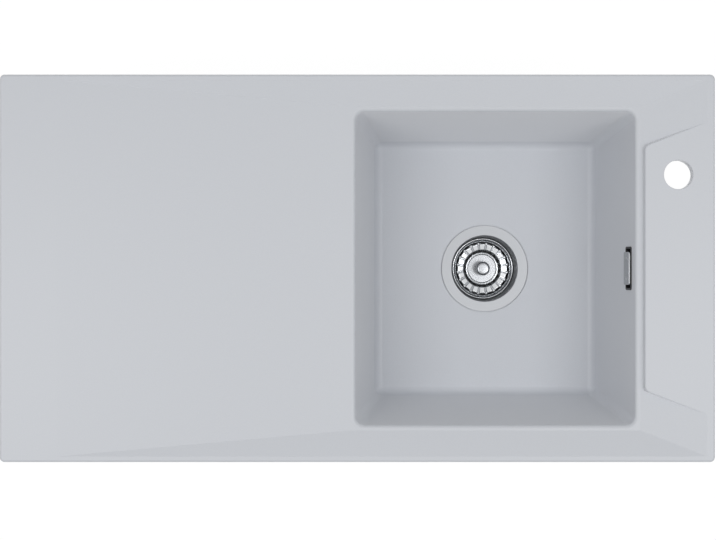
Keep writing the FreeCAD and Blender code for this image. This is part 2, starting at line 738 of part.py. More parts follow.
def make_sink_body():
    """The whole moulding, in one piece."""
    body = new_body("sink_body")
    make_deck(body)
    make_bowl(body)
    make_facets(body)
    make_platform(body)
    make_drain(body)
    make_tap_hole(body)
    make_overflow_hole(body)
    make_bosses(body)
    make_seal_groove(body)


def make_rim_seal():
    """The foam strip in its groove."""
    body = new_body("rim_seal")
    sketch = new_sketch(body, "XY_Plane")
    draw_inset(sketch, "seal_inset + seal_play")
    draw_inset(sketch, "seal_inset + seal_play + seal_width")
    extrude(body, "Pad", sketch, "seal_height")


# The strainer: flange with its cup, basket, rubber disc, stem and knob

def make_flange():
    """The strainer's flange and cup, pressed in one, with outlet windows round the screw."""
    body = turned(
        "strainer_flange",
        pressed_profile(
            (
                (FLANGE, LIP_TOP),
                (CUP, LIP_TOP),
                (f"{CUP} - cup_taper", CUP_SHOULDER),
                (f"{CUP} - cup_taper - cup_draw", f"{CUP_SHOULDER} - cup_neck"),
                (CUP_FOOT, "-cup_seat"),
                (WELL, "-cup_seat"),
                (f"{WELL} - over", WELL_FLOOR),
                ("screw_radius + thread_play", WELL_FLOOR),
            ),
            "flange_sheet",
        ),
    )
    narrow, wide = value(f"{WELL} - 2 * over"), value(f"{CUP} + 2 * flange_sheet")
    round_edges(
        body,
        body.Tip,
        "cup_bend",
        lambda box, middle: box.ZLength < TINY and narrow < box.XLength / 2 < wide,
    )
    sketch = new_sketch(body, "XY_Plane", f"{WELL_FLOOR} + over")
    draw_circle(sketch, "well_window", f"{WELL} - over - well_land - well_window")
    window = extrude(body, "Pocket", sketch, "flange_sheet + 2 * over", up=False)
    repeat(body, [window], "well_windows")
    set_at_drain(body)


def slot_row(body, inner):
    """One of a row of strainer slots: a box from the inner radius out, as wide as the webs leave."""
    sketch = new_sketch(body, "XY_Plane", BASKET_RIM)
    half = f"(pi * ({inner} + slot_breadth / 2) / petals - slot_web / 2)"
    draw_box(sketch, inner, f"{inner} + slot_breadth", f"-{half}", half)
    return extrude(body, "Pocket", sketch, "crown_rise + rim_rise", up=False)


def make_basket():
    """The strainer basket: a dish with a rolled rim, raised petals between two rows of slots."""
    bead = f"({HUB_RADIUS} + 2 * hub_bead)"
    bead_top = f"({HUB_TOP} + hub_bead)"
    inner_row = f"({PETAL_INNER} - slot_breadth)"
    fallen = f"({CROWN} - petal_fall)"
    body = turned(
        "basket",
        pressed_profile(
            (
                (BASKET_EDGE, BASKET_RIM),
                (f"{BASKET_EDGE} - basket_roll", BASKET_RIM),
                (BASKET_WALL, f"{BASKET_RIM} - basket_roll"),
                (f"{PETAL_OUTER} + slot_breadth", f"{CROWN} + petal_rise"),
                (PETAL_OUTER, CROWN),
                (PETAL_INNER, fallen),
                (bead, f"{HUB_TOP} + hub_bead / 2"),
                (f"{HUB_RADIUS} + 3 * hub_bead / 2", bead_top),
                (f"{HUB_RADIUS} + hub_bead / 2", bead_top),
                (HUB_RADIUS, HUB_TOP),
                ("stem_radius + thread_play", HUB_TOP),
            ),
            "basket_sheet",
        ),
    )
    sketch = new_sketch(body, "XZ_Plane")
    draw_polygon(
        sketch,
        (
            (PETAL_INNER, f"{fallen} - basket_sheet / 2"),
            (PETAL_OUTER, f"{CROWN} - basket_sheet / 2"),
            (f"{PETAL_OUTER} - petal_rise / 2", f"{CROWN} + petal_rise / 2"),
            (f"{PETAL_INNER} + petal_rise / 2", f"{fallen} + petal_rise"),
        ),
    )
    petal = extrude(body, "Pad", sketch, "petal_width", middle=True)
    repeat(body, [petal], "petals")
    outer_slot = slot_row(body, PETAL_OUTER)
    inner_slot = slot_row(body, inner_row)
    repeat(body, [outer_slot, inner_slot], "petals")
    return body


def make_basket_group():
    """The basket with what moves with it: rubber disc, stem and knob."""
    lip_foot = "(lip_gap - cup_seat)"
    disc_foot = f"({HUB_UNDER} - rubber_height)"
    rubber = f"({WELL} + rubber_reach)"
    disc = turned(
        "basket_seal",
        (
            ("stem_radius + thread_play", HUB_UNDER),
            (rubber, HUB_UNDER),
            (rubber, lip_foot),
            (f"{rubber} - rubber_lip", lip_foot),
            (f"{rubber} - rubber_lip", disc_foot),
            ("stem_radius + thread_play", disc_foot),
        ),
    )
    stem_foot = f"({WELL_FLOOR} + screw_blind + stem_spare)"
    stem_top = f"({HUB_TOP} + stem_top)"
    stem = turned(
        "basket_stem",
        (
            ("0", stem_foot),
            ("stem_radius", stem_foot),
            ("stem_radius", f"{disc_foot} - stem_collar"),
            ("stem_washer", f"{disc_foot} - stem_collar"),
            ("stem_washer", disc_foot),
            ("stem_radius", disc_foot),
            ("stem_radius", stem_top),
            ("0", stem_top),
        ),
    )
    top = f"({HUB_TOP} + knob_height)"
    cap = f"({top} - knob_cap)"
    knob = turned(
        "basket_knob",
        (
            ("0", f"{stem_top} + thread_play"),
            ("stem_radius + thread_play", f"{stem_top} + thread_play"),
            ("stem_radius + thread_play", HUB_TOP),
            ("knob_waist + knob_round", HUB_TOP),
            ("knob_waist", f"{HUB_TOP} + knob_round"),
            ("knob_waist", cap),
            ("knob_radius", f"{cap} + knob_round"),
            ("knob_radius", f"{top} - knob_round"),
            ("knob_radius - knob_round", top),
            ("0", top),
        ),
    )
    for body in (make_basket(), disc, stem, knob):
        set_at_drain(body)


# The waste under the bowl

def make_clamp():
    """The screw that pulls the cup and the waste body together, and the insert that it grips."""
    floor = f"({WELL_FLOOR} + screw_blind)"
    bore = "(stem_radius + running_play)"
    foot = f"({WELL_FLOOR} - screw_length)"
    screw = turned(
        "clamp_screw",
        (
            ("0", foot),
            ("screw_radius", foot),
            ("screw_radius", WELL_FLOOR),
            ("screw_head", WELL_FLOOR),
            ("screw_head", HEAD_TOP),
            (bore, HEAD_TOP),
            (bore, floor),
            ("0", floor),
        ),
    )
    sketch = new_sketch(screw, "XY_Plane", HEAD_TOP)
    draw_box(sketch, "-screw_head - over", "screw_head + over", "-screw_slot / 2", "screw_slot / 2")
    extrude(screw, "Pocket", sketch, "screw_slot", up=False)
    insert = turned_ring(
        "brass_insert", "screw_radius + thread_play", "insert_radius", INSERT_FOOT, INSERT_TOP
    )
    for body in (screw, insert):
        set_at_drain(body)


def make_gaskets():
    """The gasket between flange and floor, and the one between floor and waste body."""
    inner = "(drain_radius + gasket_edge)"
    outer = f"({FLANGE} - gasket_edge)"
    upper = turned_ring("flange_gasket", inner, outer, "-seat_depth", "-seat_depth + gasket_height")
    lower = turned_ring("waste_gasket", BODY_IN, outer, BODY_TOP, UNDER_FLOOR)
    for body in (upper, lower):
        set_at_drain(body)


def make_waste_body():
    """The plastic body under the drain: drum with the overflow's port, throat with its hub, outlet."""
    drum_foot = f"({BODY_TOP} - body_drum)"
    cone_foot = f"({drum_foot} - body_cone)"
    throat_foot = f"({INSERT_FOOT} - body_lip - over)"
    outlet_top = f"({throat_foot} - outlet_cone)"
    outlet_foot = f"({outlet_top} - outlet_length)"
    flange_foot = f"({BODY_TOP} - body_flange)"
    body = turned(
        "waste_body",
        (
            (BODY_IN, BODY_TOP),
            (BODY_IN, drum_foot),
            (BODY_THROAT, cone_foot),
            (BODY_THROAT, throat_foot),
            ("outlet_radius - body_wall", outlet_top),
            ("outlet_radius - body_wall", outlet_foot),
            ("outlet_radius", outlet_foot),
            ("outlet_radius", outlet_top),
            (f"{BODY_THROAT} + body_wall", throat_foot),
            (f"{BODY_THROAT} + body_wall", cone_foot),
            (f"{BODY_IN} + body_wall", drum_foot),
            (f"{BODY_IN} + body_wall", flange_foot),
            (FLANGE, flange_foot),
            (FLANGE, BODY_TOP),
        ),
    )
    arm_top = f"({INSERT_TOP} - body_lip)"
    arms = new_sketch(body, "XZ_Plane")
    draw_box(
        arms, "body_hub - over", f"{BODY_THROAT} + over", f"{arm_top} - body_arm_height", arm_top
    )
    arm = extrude(body, "Pad", arms, "body_arm", middle=True)
    repeat(body, [arm], "body_arms")
    hub = new_sketch(body, "XZ_Plane")
    bore = "(insert_radius + thread_play)"
    draw_polygon(
        hub,
        (
            ("screw_radius + over", f"{INSERT_FOOT} - body_lip"),
            ("body_hub", f"{INSERT_FOOT} - body_lip"),
            ("body_hub", INSERT_TOP),
            (bore, INSERT_TOP),
            (bore, INSERT_FOOT),
            ("screw_radius + over", INSERT_FOOT),
        ),
    )
    spin(body, "Revolution", hub)

    port = new_sketch(body, "YZ_Plane", "port_length")
    draw_circle(port, "port_radius", "0", "-port_drop")
    extrude(body, "Pad", port, f"port_length - {BODY_IN} - body_wall / 2", up=False)
    bore = new_sketch(body, "YZ_Plane", "port_length + over")
    draw_circle(bore, "port_bore", "0", "-port_drop")
    extrude(body, "Pocket", bore, f"port_length - {BODY_IN} + 3 * over", up=False)
    set_at_drain(body)


# The overflow in the bowl's right wall

def across_sketch(body, x):
    """A sketch square to the wall at x, whose own X is Y and whose own Y is up the wall."""
    return new_sketch(body, "YZ_Plane", x)


def make_cover():
    """The steel plate in front of the overflow, countersunk for its two screws."""
    body = new_body("overflow_cover")
    front = f"({COVER_BACK} - cover_sheet)"
    sketch = across_sketch(body, front)
    draw_rounded(sketch, "cover_width / 2", "cover_height / 2", "cover_corner")
    extrude(body, "Pad", sketch, "cover_sheet")
    for side in ("-", ""):
        add_cone(
            body,
            "SubtractiveCone",
            "cover_screw_head + thread_play",
            "cover_screw_radius + thread_play",
            "cover_sheet",
            front,
            f"{side}cover_screws / 2",
        )
    set_at_overflow(body)


def make_cover_screws():
    """The two countersunk screws that pull plate, frame and housing together."""
    screw = turned(
        "one_overflow_screw",
        (
            ("0", "0"),
            ("cover_screw_head", "0"),
            ("cover_screw_radius", "cover_sheet"),
            ("cover_screw_radius", "cover_screw_length"),
            ("0", "cover_screw_length"),
        ),
    )
    wall = Placement(
        Vector(value(OVERFLOW_X), 0, value(OVERFLOW_Z)), Rotation(Vector(0, 1, 0), value("bowl_draft"))
    )
    along_x = Rotation(Vector(0, 1, 0), 90)
    front, half = value(f"{COVER_BACK} - cover_sheet"), value("cover_screws / 2")
    places = [wall * Placement(Vector(front, side * half, 0), along_x) for side in (-1, 1)]
    copies("overflow_screws", screw, places)


def make_frame():
    """The black frame in the hole: lip, sleeve and two bridges for the screws."""
    body = new_body("overflow_frame")
    inside = "(slot_{} / 2 - frame_play - frame_wall)"
    wide, tall = inside.format("width"), inside.format("height")
    lip_front = "(-bowl_wall - frame_proud)"
    lip = across_sketch(body, lip_front)
    draw_rounded(lip, "slot_width / 2 + frame_lip", "slot_height / 2 + frame_lip", "slot_corner")
    draw_rounded(lip, wide, tall, "slot_corner - frame_wall")
    extrude(body, "Pad", lip, "frame_proud")
    sleeve = across_sketch(body, lip_front)
    draw_rounded(sleeve, "slot_width / 2 - frame_play", "slot_height / 2 - frame_play", "slot_corner")
    draw_rounded(sleeve, wide, tall, "slot_corner - frame_wall")
    extrude(body, "Pad", sleeve, "frame_proud + frame_depth")
    bridges = across_sketch(body, COVER_BACK)
    holes = across_sketch(body, f"{COVER_BACK} - over")
    reach = f"({tall} + frame_wall / 2)"
    for side in ("-", ""):
        middle = f"({side}cover_screws / 2)"
        left, right = f"{middle} - bridge_width / 2", f"{middle} + bridge_width / 2"
        draw_box(bridges, left, right, f"-{reach}", reach)
        draw_circle(holes, "cover_screw_radius + thread_play", middle, "0")
    extrude(body, "Pad", bridges, "cover_stand + frame_depth")
    extrude(body, "Pocket", holes, "cover_stand + frame_depth + 2 * over")
    set_at_overflow(body)


def make_housing_seal():
    """The seal between the housing and the bowl's outer wall."""
    body = new_body("overflow_seal")
    sketch = across_sketch(body, "0")
    draw_rounded(sketch, "slot_width / 2 + housing_edge", "slot_height / 2 + housing_edge", "slot_corner")
    draw_rounded(sketch, "slot_width / 2", "slot_height / 2", "slot_corner")
    extrude(body, "Pad", sketch, "housing_seal")
    set_at_overflow(body)


def make_housing():
    """The box behind the wall that leads the overflow down to its port, with two screw towers."""
    body = new_body("overflow_housing")
    flange = across_sketch(body, "housing_seal")
    draw_rounded(flange, "slot_width / 2 + housing_edge", "slot_height / 2 + housing_edge", "slot_corner")
    extrude(body, "Pad", flange, "housing_flange")
    box = across_sketch(body, "housing_seal")
    draw_rounded(box, "slot_width / 2 + housing_wall", "slot_height / 2 + housing_wall", "slot_corner")
    extrude(body, "Pad", box, "housing_flange + housing_depth")
    spout = new_sketch(body, "XY_Plane", PORT_FOOT)
    draw_circle(spout, "port_radius", PORT_X)
    extrude(body, "Pad", spout, "housing_edge + housing_neck")
    hollow = across_sketch(body, "housing_seal - over")
    draw_rounded(hollow, "slot_width / 2", "slot_height / 2", "slot_corner")
    extrude(body, "Pocket", hollow, "over + housing_flange + housing_depth - housing_wall")
    bore = new_sketch(body, "XY_Plane", f"{PORT_FOOT} - over")
    draw_circle(bore, "port_bore", PORT_X)
    extrude(body, "Pocket", bore, "housing_edge + housing_neck + 2 * over")
    tower_front = "(-bowl_wall + frame_depth + tower_gap)"
    towers = across_sketch(body, tower_front)
    holes = across_sketch(body, f"{tower_front} - over")
    for side in ("-", ""):
        middle = f"({side}cover_screws / 2)"
        draw_circle(towers, "tower_radius", middle, "0")
        draw_circle(holes, "cover_screw_radius + thread_play", middle, "0")
    length = f"housing_seal + housing_flange + housing_depth - housing_wall / 2 - {tower_front}"
    extrude(body, "Pad", towers, length)
    extrude(body, "Pocket", holes, "tower_hole + over")
    set_at_overflow(body)


# The hose from the overflow to the waste, with its unions

def make_union(end):
    """A union nut and its seal. Their frame's 0 is the port's end face, with the port above it."""
    shoulder = "(-hose_seal - hose_collar)"
    foot = f"({shoulder} - hose_nut_neck)"
    top = f"({foot} + hose_nut_length)"
    thread = "(port_radius + hose_nut_play)"
    neck = "(hose_root + hose_nut_play)"
    nut = turned(
        f"hose_nut_{end}",
        (
            (thread, top),
            ("hose_nut_radius", top),
            ("hose_nut_radius", shoulder),
            (f"{neck} + grip_radius", foot),
            (neck, foot),
            (neck, shoulder),
            (thread, shoulder),
        ),
    )
    sketch = new_sketch(nut, "XY_Plane", shoulder)
    draw_circle(sketch, "grip_radius", "hose_nut_radius + grip_radius / 2")
    notch = extrude(nut, "Pocket", sketch, "hose_nut_length")
    repeat(nut, [notch], "grip_notches")
    seal = turned_ring(f"hose_seal_{end}", "port_bore", "port_radius - hose_nut_play", "-hose_seal", "0")
    return nut, seal


def hose_route():
    """The hose's line in the XZ plane: start, way out, corner, way in, end."""
    lean = math.radians(value("bowl_draft"))
    out = Vector(-math.sin(lean), 0, -math.cos(lean))
    across = Vector(math.cos(lean), 0, -math.sin(lean))
    wall = Vector(value(OVERFLOW_X), 0, value(OVERFLOW_Z))
    port = wall + across * value(PORT_X) - out * value(PORT_FOOT)
    start = port + out * value("hose_seal")
    into = Vector(-1, 0, 0)
    end = Vector(value(f"{BOWL_X} + port_length + hose_seal"), 0, value(f"{LOW_RING} - port_drop"))
    corner = start + out * ((end.z - start.z) / out.z)
    return start, out, corner, into, end


def make_hose():
    """The ribbed hose: one bend between two straight ends."""
    start, out, corner, into, end = hose_route()
    turn = out.getAngle(into)
    radius = value("hose_bend")
    room = radius * math.tan(turn / 2)
    first = (corner - start).Length - room
    bend = radius * turn
    last = (end - corner).Length - room
    length = first + bend + last
    inward = (into - out * math.cos(turn)) * (1 / math.sin(turn))
    bend_start = start + out * first

    def point_at(distance):
        if distance < first:
            return start + out * distance, 0.0
        angle = min((distance - first) / radius, turn)
        point = bend_start + (out * math.sin(angle) + inward * (1 - math.cos(angle))) * radius
        return point + into * max(distance - first - bend, 0.0), angle

    lean = Rotation(Vector(0, 1, 0), 180 + value("bowl_draft"))

    def ring_at(distance, ring_radius):
        point, angle = point_at(distance)
        ring = Part.Wire(Part.makeCircle(ring_radius))
        ring.Placement = Placement(point, Rotation(Vector(0, 1, 0), math.degrees(angle)) * lean)
        return ring

    collar, cuff, crest, root = (
        value(name) for name in ("hose_collar", "hose_cuff", "hose_radius", "hose_root")
    )
    step = root / 100
    lip = value("port_radius - hose_nut_play")
    count = round((length - 2 * cuff) / value("hose_pitch"))
    pitch = (length - 2 * cuff) / count
    rings = [ring_at(0, lip), ring_at(collar, lip), ring_at(collar + step, root)]
    for i in range(count):
        for share, ring_radius in ((0.1, root), (0.3, crest), (0.7, crest), (0.9, root)):
            rings.append(ring_at(cuff + (i + share) * pitch, ring_radius))
    rings += [ring_at(length - collar - step, root), ring_at(length - collar, lip), ring_at(length, lip)]
    ribs = Part.makeLoft(rings, True, True)

    middle = point_at(first + bend / 2)[0]
    bend_end = bend_start + (out * math.sin(turn) + inward * (1 - math.cos(turn))) * radius
    line = Part.Wire(
        [
            Part.LineSegment(start - out, bend_start).toShape(),
            Part.Arc(bend_start, middle, bend_end).toShape(),
            Part.LineSegment(bend_end, end + into).toShape(),
        ]
    )
    opening = Part.Wire(Part.makeCircle(value("hose_bore"), start - out, out))
    bore = line.makePipeShell([opening], True, False)
    tube = ribs.cut(bore)
    mean = math.pi * (((crest + root) / 2) ** 2 - value("hose_bore") ** 2) * length
    print(f"hose: {count} ribs on {length:.1f} mm, straight {first:.1f} and {last:.1f} mm,", end=" ")
    print(f"volume {tube.Volume:.0f} mm3 against {mean:.0f} for its mean section")
    hose = doc.addObject("Part::Feature", "Hose")
    hose.Label = "overflow_hose"
    hose.Shape = tube
    hose.Placement = Placement()
    pieces.append(hose)


def make_overflow_pipe():
    """Hose, and a union at each of its ends."""
    for body in make_union("top"):
        set_at_overflow(body, PORT_X, PORT_FOOT)
    for body in make_union("bottom"):
        set_at(
            body,
            f"{BOWL_X} + port_length",
            "0",
            f"{LOW_RING} - port_drop",
            Vector(0, 1, 0),
            "-90",
        )
    make_hose()


# The clips that hold the sink down

def make_fixed_clip_parts():
    """Each clip's plug in its boss and the stud in the plug, one node for all of each."""
    height = value(CLIP_Z)
    places = [
        Placement(Vector(value(x), value(y), height), Rotation()) for name, x, y, turn in CLIPS
    ]
    bore = "(stud_radius + thread_play)"
    plug_top = "(plug_rim + plug_depth)"
    plug = turned(
        "one_plug",
        (
            (bore, "0"),
            ("plug_collar", "0"),
            ("plug_collar", "plug_rim"),
            ("plug_radius", "plug_rim"),
            ("plug_radius", plug_top),
            (bore, plug_top),
        ),
    )
    copies("clip_plugs", plug, places)
    foot = "(plug_rim - stud_length)"
    stud_top = f"({plug_top} - plug_spare)"
    stud = turned(
        "one_stud",
        (
            ("0", foot),
            ("stud_stop", foot),
            ("stud_stop", f"{foot} + stud_foot"),
            ("stud_radius", f"{foot} + stud_foot"),
            ("stud_radius", stud_top),
            ("0", stud_top),
        ),
    )
    copies("clip_studs", stud, places)


def make_claw(name):
    """The steel claw: a strip with a hole for the stud and an upturned tip."""
    body = new_body(f"{name}_claw")
    sketch = new_sketch(body, "XZ_Plane")
    top, under = "(-stack_play)", "(-stack_play - claw_sheet)"
    tip, inner_tip = "claw_reach", "(claw_reach - claw_sheet)"
    draw_polygon(
        sketch,
        (
            ("-claw_heel", under),
            (tip, under),
            (tip, f"{top} + claw_tooth"),
            (inner_tip, f"{top} + claw_tooth"),
            (inner_tip, top),
            ("-claw_heel", top),
        ),
    )
    strip = extrude(body, "Pad", sketch, "claw_width", middle=True)
    end_x, low = value(tip), value(under)
    round_edges(
        body, strip, "claw_bend", lambda box, middle: lies_level(box, low) and box.XMin > end_x - TINY
    )
    hole = new_sketch(body, "XY_Plane", "over")
    draw_circle(hole, "stud_radius + running_play")
    extrude(body, "Pocket", hole, "claw_sheet + 2 * over", up=False)
    return body


def make_clip_nut(name):
    """The hexagon nut that lifts the claw."""
    body = new_body(f"{name}_nut")
    sketch = new_sketch(body, "XY_Plane", f"{NUT_TOP} - nut_height")
    corner = "nut_flats / 2 / cos(30)"
    draw_polygon(sketch, [(f"{corner} * cos({60 * i})", f"{corner} * sin({60 * i})") for i in range(6)])
    draw_circle(sketch, "stud_radius + running_play")
    extrude(body, "Pad", sketch, "nut_height")
    return body


def make_clips():
    """The three moving pieces of each clip, in their stowed places."""
    bore = "(stud_radius + running_play)"
    for name, x, y, turn in CLIPS:
        washer = turned_ring(
            f"{name}_washer", bore, "washer_radius", f"{WASHER_TOP} - washer_height", WASHER_TOP
        )
        for body in (make_claw(name), washer, make_clip_nut(name)):
            set_at(body, x, y, CLIP_Z, Vector(0, 0, 1), str(turn))


def check_model():
    """Stop if anything in the document failed, or a piece has no sound shape."""
    for thing in doc.Objects:
        if {"Invalid", "Error"} & set(thing.State):
            raise RuntimeError(f"{thing.Label} could not be made: {thing.State}")
    for piece in pieces:
        if piece.Shape.isNull() or not piece.Shape.isValid():
            raise RuntimeError(f"{piece.Label} has no sound shape")


def write_pieces():
    """One STEP file for each piece, in the sink's own frame."""
    os.makedirs("parts", exist_ok=True)
    for piece in pieces:
        piece.Shape.exportStep(f"parts/{piece.Label}.step")


fill_sheet()
make_sink_body()
make_rim_seal()
make_flange()
make_basket_group()
make_clamp()
make_gaskets()
make_waste_body()
make_cover()
make_cover_screws()
make_frame()
make_housing_seal()
make_housing()
make_overflow_pipe()
make_fixed_clip_parts()
make_clips()
doc.recompute()
check_model()
write_pieces()
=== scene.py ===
"""Looks of an inset kitchen sink with a drainboard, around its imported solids.

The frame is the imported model's own: metres, +X along the sink to the tap side, +Y to the back,
+Z up, with the origin in the middle of the outline on the worktop plane. Lengths in the classes
below are millimetres, and MM turns them into metres where a mesh is made.
"""

import json
import logging
import math
from dataclasses import dataclass
from enum import Enum

import bmesh
import bpy
import numpy as np
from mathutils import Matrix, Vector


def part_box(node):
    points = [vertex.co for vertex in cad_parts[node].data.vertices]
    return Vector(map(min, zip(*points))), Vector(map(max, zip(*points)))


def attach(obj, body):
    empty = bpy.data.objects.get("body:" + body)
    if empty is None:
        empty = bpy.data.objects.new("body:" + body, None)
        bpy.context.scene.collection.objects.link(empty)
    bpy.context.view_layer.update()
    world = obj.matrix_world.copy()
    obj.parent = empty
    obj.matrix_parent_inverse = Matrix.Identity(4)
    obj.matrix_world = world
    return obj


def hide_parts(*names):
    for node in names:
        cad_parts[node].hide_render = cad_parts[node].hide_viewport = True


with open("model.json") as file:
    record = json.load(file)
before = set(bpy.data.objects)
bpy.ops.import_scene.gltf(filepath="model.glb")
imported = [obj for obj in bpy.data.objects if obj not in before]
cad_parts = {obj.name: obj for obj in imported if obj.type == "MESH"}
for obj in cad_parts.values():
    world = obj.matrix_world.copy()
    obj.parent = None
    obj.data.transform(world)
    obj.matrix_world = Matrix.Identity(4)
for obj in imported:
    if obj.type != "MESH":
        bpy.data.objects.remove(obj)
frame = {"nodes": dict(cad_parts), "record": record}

log = logging.getLogger("sink")

MM = 0.001
SENSOR_WIDTH = 36.0
TURN = 2.0 * math.pi
# edges that turn by more than this many degrees look sharp, and get rounded
SHARP = 38.0
# the drain's axis, at the low ring of the bowl's floor
DRAIN = (166.5, 0.0, -183.0)


# Colours and shader nodes


def linear(hex_colour: str) -> tuple[float, float, float, float]:
    """Turn an sRGB hex colour into linear RGBA.

    Args:
        hex_colour: "#rrggbb".

    Returns:
        Linear red, green and blue, and an alpha of 1.
    """
    channels = [int(hex_colour[i : i + 2], 16) / 255 for i in (1, 3, 5)]
    curve = [c / 12.92 if c <= 0.04045 else ((c + 0.055) / 1.055) ** 2.4 for c in channels]
    return (*curve, 1.0)


def add_node(
    tree: bpy.types.NodeTree,
    kind: str,
    settings: dict | None = None,
    values: dict | None = None,
    links: dict | None = None,
) -> bpy.types.Node:
    """Add one node to a tree, with its settings, socket values and links.

    Args:
        tree: the node tree.
        kind: the node's type name.
        settings: properties of the node.
        values: default values of its input sockets, by name or place.
        links: output sockets that feed its input sockets, by name or place.

    Returns:
        The new node.
    """
    node = tree.nodes.new(kind)
    for name, setting in (settings or {}).items():
        setattr(node, name, setting)
    for name, value in (values or {}).items():
        node.inputs[name].default_value = value
    for name, socket in (links or {}).items():
        tree.links.new(socket, node.inputs[name])
    return node


class Grain(Enum):
    """How the surface of a finish is broken up."""

    SPECKLED = "speckled"
    TURNED = "turned"
    MOULDED = "moulded"
    PLATED = "plated"


@dataclass(frozen=True)
class Finish:
    """One material: its name, its look and the pattern of its surface.

    The pattern is a noise in object coordinates, so it stays with the piece. Its size is the
    distance between two grains in millimetres. It moves the colour towards second, the roughness
    by roughness_swing, and the surface by depth. Haze is the light that a dusty surface
    scatters at flat angles.
    """

    name: str
    colour: str
    second: str
    roughness: float
    grain: Grain
    size: float
    depth: float
    metallic: float = 0.0
    haze: float = 0.0
    roughness_swing: float = 0.05
    centre: tuple[float, float, float] = (0.0, 0.0, 0.0)

    def pattern(self, tree: bpy.types.NodeTree) -> bpy.types.NodeSocket:
        """Build the pattern's value.

        Args:
            tree: the material's node tree.

        Returns:
            A socket between 0 and 1.
        """
        place = add_node(tree, "ShaderNodeTexCoord").outputs["Object"]
        scale = 1.0 / (self.size * MM)
        if self.grain is Grain.TURNED:
            # rings about the turning axis: the noise is read by the distance from it alone
            moved = add_node(
                tree,
                "ShaderNodeMapping",
                values={"Location": tuple(-c * MM for c in self.centre)},
                links={"Vector": place},
            )
            flat = add_node(
                tree,
                "ShaderNodeVectorMath",
                {"operation": "MULTIPLY"},
                {1: (1.0, 1.0, 0.0)},
                {0: moved.outputs["Vector"]},
            )
            reach = add_node(
                tree, "ShaderNodeVectorMath", {"operation": "LENGTH"}, links={0: flat.outputs[0]}
            )
            noise = add_node(
                tree,
                "ShaderNodeTexNoise",
                {"noise_dimensions": "1D"},
                {"Scale": scale, "Detail": 3.0},
                {"W": reach.outputs["Value"]},
            )
            return noise.outputs["Fac"]
        detail = {Grain.SPECKLED: 4.0, Grain.MOULDED: 2.0, Grain.PLATED: 5.0}[self.grain]
        values = {"Scale": scale, "Detail": detail}
        noise = add_node(tree, "ShaderNodeTexNoise", values=values, links={"Vector": place})
        return noise.outputs["Fac"]

    def material(self) -> bpy.types.Material:
        """Build the material.

        Returns:
            The finished material.
        """
        material = bpy.data.materials.new(self.name)
        material.use_nodes = True
        tree = material.node_tree
        shader = tree.nodes["Principled BSDF"]
        shader.inputs["Metallic"].default_value = self.metallic
        shader.inputs["Sheen Weight"].default_value = self.haze
        material.diffuse_color = linear(self.colour)
        value = self.pattern(tree)
        colour = add_node(
            tree,
            "ShaderNodeMix",
            {"data_type": "RGBA"},
            {6: linear(self.colour), 7: linear(self.second)},
            {0: value},
        )
        tree.links.new(colour.outputs[2], shader.inputs["Base Color"])
        rough = add_node(
            tree,
            "ShaderNodeMapRange",
            values={
                "To Min": self.roughness - self.roughness_swing,
                "To Max": self.roughness + self.roughness_swing,
            },
            links={"Value": value},
        )
        tree.links.new(rough.outputs["Result"], shader.inputs["Roughness"])
        bump = add_node(
            tree, "ShaderNodeBump", values={"Distance": self.depth * MM}, links={"Height": value}
        )
        tree.links.new(bump.outputs["Normal"], shader.inputs["Normal"])
        return material


# Stone and acrylic composite, cast and semi-matt: quartz grains of under half a millimetre, drawn
# at 1.1 mm so that they show as a faint speckle, and a soft broad shine.
COMPOSITE = Finish(
    "stone_composite_cast", "#c9ccd2", "#d2d5da", 0.42, Grain.SPECKLED, 1.1, 0.02, haze=0.5
)
# Stainless steel, pressed and ground satin in rings 0.6 mm apart, in a grey darker than the basket's as
# painted reflection.
RINGED_STEEL = Finish(
    "stainless_steel_ground", "#a1a3a6", "#989a9d", 0.48, Grain.TURNED, 0.6, 0.012,
    metallic=1.0, centre=DRAIN,
)
# Stainless steel sheet, deep-drawn and polished, with very faint rings: its bright tone is painted
# reflection, a lighter copy of the steel for the light that the petals mirror.
BRIGHT_STEEL = Finish(
    "stainless_steel_drawn_polished", "#d6d8da", "#cdcfd2", 0.22, Grain.TURNED, 0.9, 0.006,
    metallic=1.0, centre=DRAIN,
)
# Stainless steel inside the cup, made dark and dull as painted shade for the deep, unlit well below the
# basket.
CUP_SHADE_STEEL = Finish(
    "stainless_steel_painted_cup_shade", "#55575a", "#4c4e51", 0.5, Grain.PLATED, 0.9, 0.01, metallic=1.0
)
# Stainless steel bar, turned and polished: close rings and a sharp shine, in a darker copy of the steel as
# painted reflection.
POLISHED_STEEL = Finish(
    "stainless_steel_turned", "#a2a4a7", "#999b9e", 0.26, Grain.TURNED, 0.5, 0.006,
    metallic=1.0, centre=DRAIN,
)
# Stainless steel sheet, ground flat: an even satin.
SATIN_STEEL = Finish(
    "stainless_steel_satin", "#b2b4b6", "#a8aaac", 0.3, Grain.PLATED, 0.8, 0.008, metallic=1.0
)
# EPDM rubber, moulded: black, dull, with a fine skin.
RUBBER = Finish("epdm_rubber_moulded", "#141415", "#1b1b1c", 0.62, Grain.MOULDED, 0.7, 0.02)
# Polyethylene foam strip: black, with closed cells of about a millimetre.
FOAM = Finish("polyethylene_foam", "#1c1c1e", "#262628", 0.85, Grain.MOULDED, 1.2, 0.12)
# Brass bar, turned: yellow metal with tool rings.
BRASS = Finish(
    "brass_turned", "#c9a45c", "#b98f48", 0.28, Grain.TURNED, 0.4, 0.01,
    metallic=1.0, centre=DRAIN,
)
# Polypropylene, injection-moulded in white: waxy, with a fine spark-eroded grain.
WHITE_PLASTIC = Finish(
    "polypropylene_white_moulded", "#e2e2de", "#dadad6", 0.42, Grain.MOULDED, 0.9, 0.03
)
# Polypropylene, blown into a ribbed hose: a greyer white than the moulded pieces.
HOSE_PLASTIC = Finish(
    "polypropylene_grey_blown", "#cfd0cf", "#c6c7c6", 0.48, Grain.MOULDED, 1.4, 0.03
)
